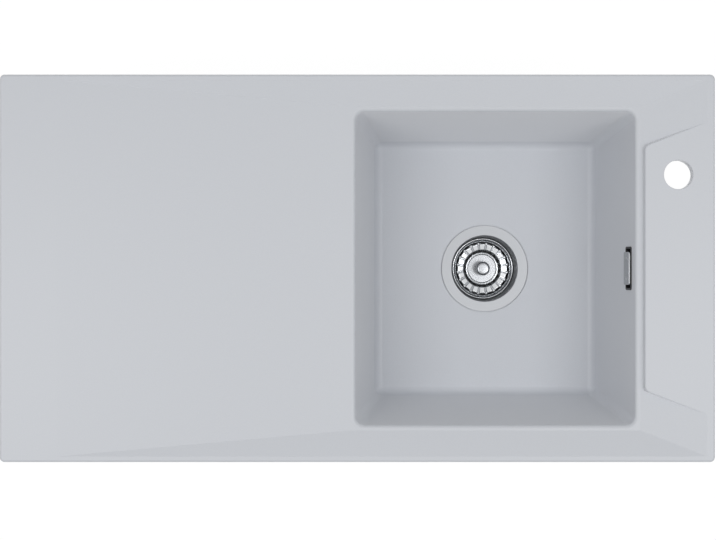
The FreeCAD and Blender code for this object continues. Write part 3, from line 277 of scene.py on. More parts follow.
# Polypropylene, injection-moulded in black.
BLACK_PLASTIC = Finish(
    "polypropylene_black_moulded", "#101011", "#17171a", 0.45, Grain.MOULDED, 0.8, 0.03
)
# Nylon, injection-moulded in dark grey.
NYLON = Finish("nylon_grey_moulded", "#2b2c2f", "#34353a", 0.5, Grain.MOULDED, 0.7, 0.02)
# Steel, zinc-plated and passivated: silver with a faint cloudiness.
ZINC = Finish("steel_zinc_plated", "#c3c7ca", "#b3b9c0", 0.34, Grain.PLATED, 2.5, 0.01, metallic=1.0)


# Surfaces


@dataclass
class Surface:
    """A grid of points, rows by columns, whose cells are the faces of a mesh.

    points has the shape (rows, columns, 3), in millimetres. A closed direction joins its last
    line to its first. kept says which cells have a face.
    """

    points: np.ndarray
    closed_rows: bool = False
    closed_columns: bool = False
    kept: np.ndarray | None = None

    def faces(self, first: int) -> np.ndarray:
        """Number the corners of the cells.

        Args:
            first: number of the grid's first point in the mesh.

        Returns:
            Four point numbers for each cell that has a face.
        """
        rows, columns = self.points.shape[:2]
        row, column = np.meshgrid(
            np.arange(rows - (not self.closed_rows)),
            np.arange(columns - (not self.closed_columns)),
            indexing="ij",
        )
        below, beside = (row + 1) % rows, (column + 1) % columns
        corners = ((row, column), (row, beside), (below, beside), (below, column))
        quads = np.stack([r * columns + c for r, c in corners], axis=-1)
        if self.kept is not None:
            quads = quads[self.kept]
        return quads.reshape(-1, 4) + first


def read(items: bpy.types.bpy_prop_collection, name: str, width: int = 1, kind: type = float) -> np.ndarray:
    """Read one property of all of a mesh's points, edges or faces.

    Args:
        items: the mesh's points, edges, corners or faces.
        name: the property's name.
        width: how many numbers each item has.
        kind: the numbers' type.

    Returns:
        One row for each item, or one number where the width is 1.
    """
    values = np.empty(len(items) * width, dtype=kind)
    items.foreach_get(name, values)
    return values.reshape(-1, width) if width > 1 else values


def settle(mesh: bpy.types.Mesh, name: str, sharp: float) -> bpy.types.Object:
    """Put a finished mesh into a smooth object whose sharp edges are marked by their angle.

    Args:
        mesh: the mesh.
        name: the piece's name.
        sharp: edges that turn by more than this many degrees look sharp.

    Returns:
        The new object.
    """
    mesh.name = name
    mesh.shade_smooth()
    mesh.set_sharp_from_angle(angle=math.radians(sharp))
    piece = bpy.data.objects.new(name, mesh)
    bpy.context.scene.collection.objects.link(piece)
    return piece


def mesh_of(
    name: str, surfaces: list[Surface], sharp: float = SHARP, closed: bool = True
) -> bpy.types.Object:
    """Make one mesh of several grids, with touching points merged.

    Args:
        name: the piece's name.
        surfaces: its grids.
        sharp: edges that turn by more than this many degrees look sharp.
        closed: whether the grids bound a solid, whose faces are then turned outwards.

    Returns:
        The new object.
    """
    counts = np.array([surface.points[..., 0].size for surface in surfaces])
    firsts = np.concatenate([[0], np.cumsum(counts)[:-1]])
    points = np.concatenate([surface.points.reshape(-1, 3) for surface in surfaces]) * MM
    quads = np.concatenate([s.faces(int(first)) for s, first in zip(surfaces, firsts)])
    mesh = bpy.data.meshes.new(name)
    mesh.vertices.add(len(points))
    mesh.vertices.foreach_set("co", points.ravel())
    mesh.loops.add(quads.size)
    mesh.loops.foreach_set("vertex_index", quads.ravel().astype(np.int32))
    mesh.polygons.add(len(quads))
    mesh.polygons.foreach_set("loop_start", np.arange(0, quads.size, 4, dtype=np.int32))
    mesh.update(calc_edges=True)
    work = bmesh.new()
    work.from_mesh(mesh)
    bmesh.ops.remove_doubles(work, verts=work.verts, dist=0.002 * MM)
    if closed:
        bmesh.ops.recalc_face_normals(work, faces=work.faces)
    work.to_mesh(mesh)
    work.free()
    return settle(mesh, name, sharp)


def soften(piece: bpy.types.Object, bevel: float, limit: str = "ANGLE") -> bpy.types.Object:
    """Round a piece's sharp edges, and keep its flat faces looking flat.

    Args:
        piece: the object.
        bevel: width of the rounded edges in millimetres, 0 for none.
        limit: ANGLE rounds the edges that turn by over SHARP, WEIGHT those with a weight.

    Returns:
        The same object.
    """
    if bevel:
        edges = piece.modifiers.new("edges", "BEVEL")
        edges.width = bevel * MM
        edges.segments = 2
        edges.limit_method = limit
        edges.angle_limit = math.radians(SHARP)
        edges.miter_outer = "MITER_ARC"
    normals = piece.modifiers.new("flats", "WEIGHTED_NORMAL")
    normals.keep_sharp = True
    return piece


def merged_copy(node: str, sharp: float = SHARP) -> bpy.types.Object:
    """Copy a CAD node, with its loose triangles merged into smooth and flat faces.

    Args:
        node: the CAD node's name.
        sharp: edges that turn by more than this many degrees look sharp.

    Returns:
        The copy.
    """
    work = bmesh.new()
    work.from_mesh(frame["nodes"][node].data)
    bmesh.ops.remove_doubles(work, verts=work.verts, dist=0.001 * MM)
    bmesh.ops.dissolve_limit(
        work,
        angle_limit=math.radians(0.3),
        verts=work.verts,
        edges=work.edges,
        use_dissolve_boundaries=False,
    )
    mesh = bpy.data.meshes.new(node)
    work.to_mesh(mesh)
    work.free()
    return settle(mesh, f"{node}_skin", sharp)


def rounded_outline(corners: list[tuple[float, float, float]], steps: int = 5) -> np.ndarray:
    """Round the corners of a closed outline.

    Each corner becomes the quadratic blend of three points: where its rounding starts on the
    line before it, the corner itself, and where it ends on the line after it.

    Args:
        corners: (radius, height, rounding) of each corner, in millimetres.
        steps: lines in each rounding.

    Returns:
        The (radius, height) points of the outline.
    """
    table = np.array(corners, float)
    place, reach = table[:, :2], table[:, 2:]
    ways = [np.roll(place, shift, axis=0) - place for shift in (1, -1)]
    lengths = [np.maximum(np.linalg.norm(way, axis=1, keepdims=True), 1e-9) for way in ways]
    room = np.minimum(reach, 0.49 * np.minimum(*lengths))
    start, end = (place + way / length * room for way, length in zip(ways, lengths))
    blend = np.linspace(0.0, 1.0, steps + 1)[None, :, None]
    points = (1 - blend) ** 2 * start[:, None] + 2 * blend * (1 - blend) * place[:, None]
    return (points + blend**2 * end[:, None]).reshape(-1, 2)


def round_axis(
    radius: np.ndarray, height: np.ndarray, angle: np.ndarray, centre: tuple[float, ...] | np.ndarray
) -> np.ndarray:
    """Place points round a vertical axis.

    Along X a point lies its radius times the cosine of its angle from the centre, along Y its
    radius times the sine, and up its height. The three arrays spread over each other.

    Args:
        radius: distances from the axis, in millimetres.
        height: heights over the centre, in millimetres.
        angle: angles from +X, in radians.
        centre: the point that the heights count from.

    Returns:
        The points, with X, Y and Z in the last axis.
    """
    parts = np.broadcast_arrays(radius * np.cos(angle), radius * np.sin(angle), height)
    return np.stack(parts, axis=-1) + np.array(centre)


def turned(outline: np.ndarray, centre: tuple[float, float, float], sides: int = 96) -> Surface:
    """Carry an outline round the vertical axis through a centre.

    Args:
        outline: (radius, height) points of a closed outline, in millimetres.
        centre: the point that the heights count from.
        sides: steps of a full turn.

    Returns:
        The surface, whose rows follow the outline.
    """
    points = round_axis(outline[:, :1], outline[:, 1:], full_turn(sides), centre)
    return Surface(points, closed_rows=True, closed_columns=True)


def full_turn(sides: int) -> np.ndarray:
    """Angles of a full turn in even steps, in radians."""
    return np.arange(sides) * TURN / sides


def smooth_step(value: np.ndarray) -> np.ndarray:
    """Rise from 0 to 1 while value does, level at both ends."""
    held = np.clip(value, 0.0, 1.0)
    return held * held * (3.0 - 2.0 * held)


def faded(height: np.ndarray, low: float, high: float, reach: float) -> np.ndarray:
    """Share that is 1 between two heights and falls smoothly to 0 within reach of each."""
    return smooth_step((height - low) / reach) * smooth_step((high - height) / reach)


def thread_ridge(height: np.ndarray, angle: np.ndarray, pitch: float) -> np.ndarray:
    """Share of a thread's depth: 1 on its crest and 0 in its groove, round both.

    It is a flat-topped wave of the height less the angle's share of a pitch.

    Args:
        height: heights along the thread, in millimetres.
        angle: angles round its axis, in radians.
        pitch: rise of one turn, in millimetres.

    Returns:
        Numbers between 0 and 1.
    """
    phase = (height / pitch - angle / TURN) * TURN
    return smooth_step(0.5 + 0.9 * np.cos(phase))


class Workshop:
    """Makes each finish's material once, and hands finished pieces over to the frame."""

    def __init__(self) -> None:
        """Read from the record which body and which slot each CAD node belongs to."""
        record = frame["record"]
        self.made: dict[str, bpy.types.Material] = {}
        self.slots = {part["node"]: part["material_slot"] for part in record["subparts"]}
        self.bodies = {
            node: body for body, nodes in record["behaviour"]["bodies"].items() for node in nodes
        }

    def material(self, finish: Finish) -> bpy.types.Material:
        """Return a finish's material, which is made the first time."""
        if finish.name not in self.made:
            self.made[finish.name] = finish.material()
        return self.made[finish.name]

    def hand_over(
        self,
        piece: bpy.types.Object,
        finish: Finish,
        node: str,
        inside: tuple[Finish, float, float] | None = None,
    ) -> None:
        """Dress a piece, and put it in the place of a CAD node.

        Args:
            piece: the mesh object.
            finish: its finish.
            node: the CAD node that it replaces, and whose body it rides on.
            inside: a second finish, for faces whose middles lie less than a radius from the
                drain's axis and under a height over its ring.
        """
        piece.data.materials.clear()
        piece.data.materials.append(self.material(finish))
        if inside:
            second, radius, height = inside
            piece.data.materials.append(self.material(second))
            x, y, z = (read(piece.data.polygons, "center", 3) / MM - np.array(DRAIN)).T
            chosen = (np.hypot(x, y) < radius) & (z < height)
            piece.data.polygons.foreach_set("material_index", chosen.astype(np.int32))
        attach(piece, self.bodies[node])
        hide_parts(node)
        log.info("%s: %s, %d faces", piece.name, finish.name, len(piece.data.polygons))

    def refinish(self, node: str, finish: Finish, bevel: float) -> None:
        """Replace a CAD node by a smooth copy with rounded edges.

        Args:
            node: the CAD node's name.
            finish: its finish.
            bevel: width of its rounded edges in millimetres.
        """
        self.hand_over(soften(merged_copy(node), bevel), finish, node)

    def refinish_all(self, rows: tuple[tuple[str, Finish, float], ...]) -> None:
        """Replace several CAD nodes, each row a node's name, its finish and its bevel."""
        for node, finish, bevel in rows:
            self.refinish(node, finish, bevel)


@dataclass
class Moulding:
    """The sink's moulding and the foam strip under its rim.

    Rounded are the tap hole's upper edge, the flange's seat in the floor and the overflow hole,
    all by edge. Creases are looked for above deck_low, between faces of over flat_area square
    millimetres that turn by over crease degrees.
    """

    top: float = 9.0
    tap_x: float = 385.8
    tap_y: float = 112.6
    tap_radius: float = 17.5
    seat_radius: float = 57.2
    overflow_x: float = 331.6
    overflow_play: float = 2.2
    overflow_reach: float = 27.0
    overflow_low: float = -42.0
    overflow_high: float = -14.0
    edge: float = 0.6
    sharp: float = 32.0
    flat_area: float = 2000.0
    crease: float = 0.8
    deck_low: float = -2.0

    def creases(self, mesh: bpy.types.Mesh, middles: np.ndarray) -> np.ndarray:
        """Tell which of the deck's edges lie between two large flat faces.

        Faces in one plane count as one, by their rounded normal and distance.

        Args:
            mesh: the moulding's mesh.
            middles: its edges' middles, in millimetres.

        Returns:
            True for those edges.
        """
        faces = mesh.polygons
        normals = read(faces, "normal", 3)
        offsets = (normals * read(faces, "center", 3)).sum(axis=1) / MM
        planes = np.column_stack([normals.round(3), (offsets * 5.0).round() / 5.0])
        plane = np.unique(planes, axis=0, return_inverse=True)[1].ravel()
        large = np.bincount(plane, read(faces, "area"))[plane] > self.flat_area * MM * MM
        # each edge of the closed shell has two corners, one in each face beside it
        order = np.argsort(read(mesh.loops, "edge_index", kind=np.int32), kind="stable")
        owner = np.repeat(np.arange(len(faces)), read(faces, "loop_total", kind=np.int32))
        one, other = owner[order].reshape(-1, 2).T
        limit = math.cos(math.radians(self.crease))
        differ = (normals[one] * normals[other]).sum(axis=1) < limit
        return differ & large[one] & large[other] & (middles[:, 2] > self.deck_low)

    def crisp_edges(self, middles: np.ndarray) -> np.ndarray:
        """Tell which edges are crisp ones that the mould rounds a little.

        Args:
            middles: the edges' middles, in millimetres.

        Returns:
            True for those edges.
        """
        x, y, z = middles.T
        tap = np.hypot(x - self.tap_x, y - self.tap_y)
        drain = np.hypot(x - DRAIN[0], y)
        on_tap = (abs(tap - self.tap_radius) < 0.4) & (abs(z - self.top) < 0.05)
        on_seat = (abs(drain - self.seat_radius) < 0.6) & (abs(z - DRAIN[2]) < 0.3)
        beside = (abs(x - self.overflow_x) < self.overflow_play) & (abs(y) < self.overflow_reach)
        return on_tap | on_seat | (beside & (z > self.overflow_low) & (z < self.overflow_high))

    def build(self, shop: Workshop) -> None:
        """Dress the moulding in composite, and its seal in foam.

        Args:
            shop: the workshop.
        """
        piece = merged_copy("sink_body", self.sharp)
        mesh = piece.data
        ends = read(mesh.edges, "vertices", 2, np.int32)
        middles = read(mesh.vertices, "co", 3)[ends].mean(axis=1) / MM
        marks = mesh.attributes["sharp_edge"].data
        sharp = read(marks, "value", kind=bool)
        marks.foreach_set("value", sharp | self.creases(mesh, middles))
        weights = mesh.attributes.new("bevel_weight_edge", "FLOAT", "EDGE")
        weights.data.foreach_set("value", (self.crisp_edges(middles) & sharp).astype(np.float32))
        shop.hand_over(soften(piece, self.edge, "WEIGHT"), COMPOSITE, "sink_body")
        shop.refinish("rim_seal", FOAM, 0.3)


@dataclass
class Strainer:
    """Flange and cup, and the basket with its disc, stem and knob.

    Heights count from the low ring of the bowl's floor, around the drain. The wall's and the
    profile's points are (radius, height). The petals' plateaus are (radius, width of the fade)
    at their outer and inner ends, and a share of the pitch at their sides.
    """

    petals: int = 20
    columns: int = 24
    web: int = 2
    roll_radius: float = 0.9
    roll_centre: tuple[float, float] = (39.3, -36.1)
    roll_span: tuple[float, float] = (-60.0, 150.0)
    roll_rows: int = 12
    wall: tuple[tuple[float, float], ...] = (
        (38.1, -36.1),
        (37.1, -37.4),
        (36.7, -39.0),
        (36.4, -41.4),
    )
    slot_outer: float = 36.1
    petal_outer: float = 32.7
    petal_inner: float = 22.9
    slot_inner: float = 21.3
    outer_dip: float = 1.8
    tooth: float = 2.5
    petal_rows: int = 15
    petal_rise: float = 1.35
    plateau_outer: tuple[float, float] = (33.6, 1.6)
    plateau_inner: tuple[float, float] = (23.4, 1.8)
    plateau_side: float = 0.2
    profile: tuple[tuple[float, float], ...] = (
        (2.0, -53.0),
        (18.8, -53.0),
        (20.9, -52.2),
        (21.3, -51.3),
        (23.3, -47.4),
        (24.6, -46.0),
        (33.3, -43.6),
        (35.9, -42.1),
        (36.6, -39.0),
    )
    bead: float = 19.6
    bead_width: float = 0.95
    bead_height: float = 0.9
    bead_rows: int = 9
    hub_rings: tuple[float, ...] = (18.8, 18.4, 17.6, 15.0, 12.0, 9.0, 6.0, 3.05)
    hub_edge: float = 18.7
    # reach from the axis and height under which the cup's faces take the dark steel of painted shade
    shade_reach: float = 39.6
    shade_height: float = -45.0
    sheet: float = 0.8
    hub_top: float = -53.0
    knob_radius: float = 9.2
    knob_waist: float = 5.4
    knob_bore: float = 3.05
    knob_height: float = 26.5
    knob_cap: float = 13.0
    knob_dome: float = 0.15
    knob_dome_depth: float = 2.5
    stem_top: float = 15.05

    def basket_surface(self) -> Surface:
        """Work out the upper side of the basket's sheet.

        The rows run from the rolled rim to the middle and the columns round the axis. Each
        row's radius is its own, plus a wave of the share of a petal's pitch: the outer slots'
        inner edge moves out by the cube of that share, and the inner slots' outer edge moves out
        by one less its cosine, which leaves a tooth between two petals. The height is the
        profile's at that radius, with a smooth plateau on each petal and a round bead.

        Returns:
            The surface, without the cells of the slots.
        """
        beside = np.arange(self.petals * self.columns) % self.columns
        share = (beside + 0.5) / self.columns - 0.5
        angle = (np.arange(share.size) + 0.5) * TURN / share.size - math.pi / self.petals
        outer = self.outer_dip * (2.0 * abs(share)) ** 3
        inner = self.tooth * (1.0 - np.cos(math.pi * share))
        level = np.ones_like(share)

        turn = np.radians(np.linspace(*self.roll_span, self.roll_rows))[:, None]
        rim = self.roll_centre[0] + self.roll_radius * np.cos(turn) * level
        rim_height = self.roll_centre[1] + self.roll_radius * np.sin(turn) * level
        wall = np.array(self.wall)
        start, end = self.petal_outer + outer, self.petal_inner + inner
        across = np.linspace(0.0, 1.0, self.petal_rows)[:, None]
        petals = start + (end - start) * across
        foot = np.linspace(self.slot_inner, self.hub_rings[0], self.bead_rows)[:, None] * level
        hub = np.array(self.hub_rings[1:])[:, None] * level
        dish = np.concatenate([self.slot_outer * level[None, :], petals, foot, hub])
        heights = np.interp(dish, *np.array(self.profile).T)
        outer_end, outer_fade = self.plateau_outer
        inner_end, inner_fade = self.plateau_inner
        ends = smooth_step((outer_end - dish) / outer_fade) * smooth_step((dish - inner_end) / inner_fade)
        heights += self.petal_rise * ends * smooth_step((0.5 - abs(share)) / self.plateau_side)
        from_bead = (dish - self.bead) / self.bead_width
        heights += self.bead_height * np.sqrt(np.clip(1.0 - from_bead**2, 0.0, 1.0))
        radius = np.concatenate([rim, wall[:, :1] * level, dish])
        height = np.concatenate([rim_height, wall[:, 1:] * level, heights])

        kept = np.ones((len(radius) - 1, share.size), dtype=bool)
        slot = len(rim) + len(wall)
        kept[slot] = (beside < self.web) | (beside >= self.columns - self.web)
        kept[slot + len(petals)] = abs(beside - self.columns / 2 + 0.5) < 1.0
        return Surface(round_axis(radius, height, angle, DRAIN), closed_columns=True, kept=kept)

    def build_basket(self, shop: Workshop) -> None:
        """Press the basket: its upper side, then its sheet's thickness below that.

        Args:
            shop: the workshop.
        """
        draft = mesh_of("basket_draft", [self.basket_surface()], closed=False)
        gauge = draft.modifiers.new("gauge", "SOLIDIFY")
        gauge.thickness = self.sheet * MM
        gauge.offset = -1.0
        if draft.data.polygons[len(draft.data.polygons) // 2].normal.z < 0.0:
            draft.data.flip_normals()
        graph = bpy.context.evaluated_depsgraph_get()
        whole = bpy.data.meshes.new_from_object(draft.evaluated_get(graph))
        bpy.data.objects.remove(draft)
        piece = soften(settle(whole, "basket_sheet", 50.0), 0.0)
        # the hub disc of the same sheet takes the darker polished steel, as painted reflection
        shop.hand_over(piece, BRIGHT_STEEL, "basket", (POLISHED_STEEL, self.hub_edge, 0.0))

    def build_knob(self, shop: Workshop) -> None:
        """Turn the knob: a waist and a grip with a full round edge, bored for the stem.

        Args:
            shop: the workshop.
        """
        low, top = self.hub_top, self.hub_top + self.knob_height
        cap, stem = top - self.knob_cap, low + self.stem_top
        outline = rounded_outline(
            [
                (0.0, stem, 0.0),
                (self.knob_bore, stem, 0.2),
                (self.knob_bore, low, 0.0),
                (self.knob_waist + 1.6, low, 0.5),
                (self.knob_waist, low + 2.4, 2.0),
                (self.knob_waist, cap, 1.5),
                (self.knob_radius, cap + 1.4, 1.6),
                (self.knob_radius, top, 4.0),
                (0.0, top, 0.0),
            ],
            steps=9,
        )
        # the top's middle stands a little above its edge
        sink = self.knob_dome * (outline[:, 0] / self.knob_radius) ** 2
        outline[:, 1] -= np.where(outline[:, 1] > top - self.knob_dome_depth, sink, 0.0)
        piece = mesh_of("basket_knob_turned", [turned(outline, DRAIN)])
        shop.hand_over(soften(piece, 0.0), POLISHED_STEEL, "basket_knob")

    def build(self, shop: Workshop) -> None:
        """Build and dress the strainer's pieces.

        Args:
            shop: the workshop.
        """
        flange = soften(merged_copy("strainer_flange"), 0.3)
        # the cup's inner faces are painted dark, as shade in the deep well under the basket
        cup_shade = (CUP_SHADE_STEEL, self.shade_reach, self.shade_height)
        shop.hand_over(flange, RINGED_STEEL, "strainer_flange", cup_shade)
        self.build_basket(shop)
        self.build_knob(shop)
        shop.refinish_all(
            (
                ("basket_seal", RUBBER, 0.5),
                ("basket_stem", POLISHED_STEEL, 0.4),
                ("flange_gasket", RUBBER, 0.15),
            )
        )


@dataclass
class Waste:
    """The plastic body under the drain, with its outlet's thread, and the screw that holds it."""

    outlet_radius: float = 23.9
    outlet_low: float = -134.2
    outlet_high: float = -107.2
    pitch: float = 2.309
    depth: float = 1.4
    sleeve: float = 0.3
    sides: int = 96

    def build_body(self, shop: Workshop) -> None:
        """Cut the outlet's thread into a smooth copy of the waste body.

        The copy's outlet is drawn in to the thread's root, and a sleeve whose radius is that of
        the thread's ridge at each height and angle goes round it, fading out at both ends.

        Args:
            shop: the workshop.
        """
        skin = merged_copy("waste_body")
        places = read(skin.data.vertices, "co", 3) / MM - np.array(DRAIN)
        radius = np.hypot(places[:, 0], places[:, 1])
        thread = (abs(radius - self.outlet_radius) < 0.3) & (places[:, 2] < self.outlet_high - 1.0)
        places[thread, :2] *= (self.outlet_radius - self.depth) / self.outlet_radius
        skin.data.vertices.foreach_set("co", ((places + np.array(DRAIN)) * MM).ravel())
        skin.data.update()

        span = self.outlet_high - self.outlet_low
        height = np.linspace(0.0, span, round(8 * span / self.pitch))[:, None]
        angle = full_turn(self.sides)
        ridge = thread_ridge(height, angle, self.pitch) * faded(height, 0.0, span, self.pitch)
        # a hair inside the outlet's radius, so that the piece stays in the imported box
        radius = self.outlet_radius - self.depth * (1.0 - ridge) - 0.01
        back = np.full_like(radius, self.outlet_radius - self.depth - self.sleeve)
        heights = self.outlet_low + np.concatenate([height, height[::-1]])
        points = round_axis(np.concatenate([radius, back]), heights, angle, DRAIN)
        sleeve = Surface(points, closed_rows=True, closed_columns=True)
        shop.hand_over(soften(skin, 0.5), WHITE_PLASTIC, "waste_body")
        shop.hand_over(mesh_of("waste_thread", [sleeve], 60.0), WHITE_PLASTIC, "waste_body")

    def build(self, shop: Workshop) -> None:
        """Build and dress the waste's pieces.

        Args:
            shop: the workshop.
        """
        self.build_body(shop)
        shop.refinish_all(
            (
                ("waste_gasket", RUBBER, 0.5),
                ("clamp_screw", POLISHED_STEEL, 0.4),
                ("brass_insert", BRASS, 0.3),
            )
        )


@dataclass
class Overflow:
    """The plate in the bowl's wall with its frame and screws, the housing behind it and the hose.

    Places in the wall's own frame are (out of the bowl, along Y, up the wall), from the wall's
    outer side. A screw's tip is (radius, distance from its end). The hose's two legs are the
    distances of its spline's points from the corner, in rooms of its bend.
    """

    origin: tuple[float, float, float] = (340.547, 0.0, -28.753)
    lean: float = 8.0
    screw_front: float = -12.3
    screw_side: float = 12.0
    head_radius: float = 3.6
    head_height: float = 1.6
    head_edge: float = 0.12
    shank_radius: float = 1.9
    screw_length: float = 19.0
    tip: tuple[tuple[float, float], ...] = ((0.0, 0.0), (0.9, 0.0), (1.5, 1.5), (1.9, 2.5))
    face_rows: int = 22
    screw_sides: int = 72
    cross_turn: float = 20.0
    cross_width: float = 0.45
    cross_reach: float = 2.2
    cross_depth: float = 1.1
    port_out: float = 21.0
    port_up: float = -42.5
    hose_end: tuple[float, float, float] = (242.5, 0.0, -219.0)
    hose_bend: float = 60.0
    hose_legs: tuple[float, float] = (2.0, 1.6)
    crest: float = 12.5
    root: float = 10.4
    bore: float = 8.7
    collar_radius: float = 11.35
    collar: float = 1.2
    cuff: float = 14.0
    ribs: int = 54
    rib_rows: int = 8
    bore_rows: int = 60
    around: int = 56

    def placed(self, points: np.ndarray) -> np.ndarray:
        """Move points from the wall's own frame into the sink's.

        Args:
            points: (out, along Y, up) in the last axis.

        Returns:
            The same points in the sink's frame.
        """
        lean = math.radians(self.lean)
        level, plumb = math.cos(lean), math.sin(lean)
        axes = np.array([[level, 0.0, -plumb], [0.0, 1.0, 0.0], [plumb, 0.0, level]])
        return points @ axes + np.array(self.origin)

    def screw(self, side: float) -> Surface:
        """Turn one countersunk screw whose head has a cross recess.

        The rows run from the tip along the shank, the cone and the head's face to its middle.
        The face is sunk where a point lies in either bar of the cross, with a soft step.

        Args:
            side: -1 or 1, the way along Y.

        Returns:
            The surface, in the sink's frame.
        """
        front, end = self.screw_front, self.screw_front + self.screw_length
        rings = np.array(
            [
                *((radius, end - back) for radius, back in self.tip),
                (self.shank_radius, front + self.head_height),
                (self.head_radius, front + self.head_edge),
                (self.head_radius - self.head_edge, front),
            ]
        )
        face = np.linspace(self.head_radius - 0.3, 0.0, self.face_rows)
        radius = np.concatenate([rings[:, 0], face])[:, None]
        out = np.concatenate([rings[:, 1], np.full(face.size, front)])[:, None]
        angle = full_turn(self.screw_sides)
        across, up = radius * np.cos(angle), radius * np.sin(angle)
        turn = math.radians(self.cross_turn * side)
        one = across * math.cos(turn) + up * math.sin(turn)
        other = up * math.cos(turn) - across * math.sin(turn)
        bar, reach = np.minimum(abs(one), abs(other)), np.maximum(abs(one), abs(other))
        sunk = smooth_step((self.cross_width + 0.2 - bar) / 0.25)
        sunk = sunk * smooth_step((self.cross_reach - reach) / 0.6)
        on_face = np.arange(radius.size)[:, None] >= len(rings)
        out = out + np.where(on_face, self.cross_depth * sunk, 0.0)
        points = np.stack([out, across + side * self.screw_side, up], axis=-1)
        return Surface(self.placed(points), closed_columns=True)

    def route(self) -> np.ndarray:
        """Read the hose's line from a spline through its straight ends and its bend.

        The spline's points are the two ends, the corner where the straight runs would meet, and
        a point on each run. A bend's room is how far from the corner its arc would start.

        Returns:
            Points along the line, in millimetres.
        """
        start = self.placed(np.array([self.port_out, 0.0, self.port_up]))
        end = np.array(self.hose_end)
        lean = math.radians(self.lean)
        down = np.array([-math.sin(lean), 0.0, -math.cos(lean)])
        into = np.array([-1.0, 0.0, 0.0])
        corner = start + down * (end[2] - start[2]) / down[2]
        room = self.hose_bend * math.tan(math.acos(float(down @ into)) / 2.0)
        first, second = (leg * room for leg in self.hose_legs)
        points = [start, corner - first * down, corner, corner + second * into, end]
        curve = bpy.data.curves.new("hose_line", "CURVE")
        curve.dimensions = "3D"
        spline = curve.splines.new("NURBS")
        spline.points.add(len(points) - 1)
        spline.points.foreach_set("co", np.array([(*point, 1.0) for point in points]).ravel())
        spline.order_u = 3
        spline.use_endpoint_u = True
        spline.resolution_u = 48
        holder = bpy.data.objects.new("hose_line", curve)
        line = bpy.data.meshes.new_from_object(holder)
        found = read(line.vertices, "co", 3)
        bpy.data.objects.remove(holder)
        bpy.data.curves.remove(curve)
        bpy.data.meshes.remove(line)
        return found

    def hose(self) -> Surface:
        """Carry the hose's section along its line.

        The outer radius is the collar's at both ends, the cuff's behind it, and between the
        cuffs a rounded wave from root to crest for each rib. The bore runs back inside.

        Returns:
            The surface, whose rows follow the line out and back.
        """
        line = self.route()
        steps = np.linalg.norm(np.diff(line, axis=0), axis=1)
        along = np.concatenate([[0.0], np.cumsum(steps)])
        length = along[-1]
        ribbed = length - 2.0 * self.cuff
        wave = self.cuff + np.linspace(0.0, ribbed, self.ribs * self.rib_rows + 1)
        share = 0.5 - 0.5 * np.cos((wave - self.cuff) * self.ribs / ribbed * TURN)
        collar = np.array([0.0, self.collar, self.collar + 0.15, self.cuff / 2])
        collar_radius = np.array([self.collar_radius, self.collar_radius, self.root, self.root])
        inside = np.linspace(length, 0.0, self.bore_rows)
        place = np.concatenate([collar, wave, (length - collar)[::-1], inside])
        rib = self.root + (self.crest - self.root) * smooth_step(share * 1.1)
        bore = np.full(inside.size, self.bore)
        radius = np.concatenate([collar_radius, rib, collar_radius[::-1], bore])
        centre = np.stack([np.interp(place, along, line[:, i]) for i in range(3)], axis=-1)
        slopes = np.gradient(line, along, axis=0)
        way = np.stack([np.interp(place, along, slopes[:, i]) for i in range(3)], axis=-1)
        way /= np.linalg.norm(way, axis=1, keepdims=True)
        side = np.stack([-way[:, 2], np.zeros(place.size), way[:, 0]], axis=-1)
        angle = full_turn(self.around)[:, None]
        ring = side[:, None] * np.cos(angle) + np.array([0.0, 1.0, 0.0]) * np.sin(angle)
        points = centre[:, None] + radius[:, None, None] * ring
        return Surface(points, closed_rows=True, closed_columns=True)

    def build(self, shop: Workshop) -> None:
        """Build and dress the overflow's pieces.

        Args:
            shop: the workshop.
        """
        screws = mesh_of("overflow_cross_screws", [self.screw(-1.0), self.screw(1.0)])
        shop.hand_over(soften(screws, 0.0), SATIN_STEEL, "overflow_screws")
        hose = mesh_of("overflow_ribbed_hose", [self.hose()], 60.0)
        shop.hand_over(soften(hose, 0.0), HOSE_PLASTIC, "overflow_hose")
        shop.refinish_all(
            (
                ("overflow_cover", SATIN_STEEL, 0.35),
                ("overflow_frame", BLACK_PLASTIC, 0.25),
                ("overflow_seal", RUBBER, 0.3),
                ("overflow_housing", WHITE_PLASTIC, 0.6),
                ("hose_nut_top", WHITE_PLASTIC, 0.6),
                ("hose_seal_top", RUBBER, 0.2),
                ("hose_nut_bottom", WHITE_PLASTIC, 0.6),
                ("hose_seal_bottom", RUBBER, 0.2),
            )
        )


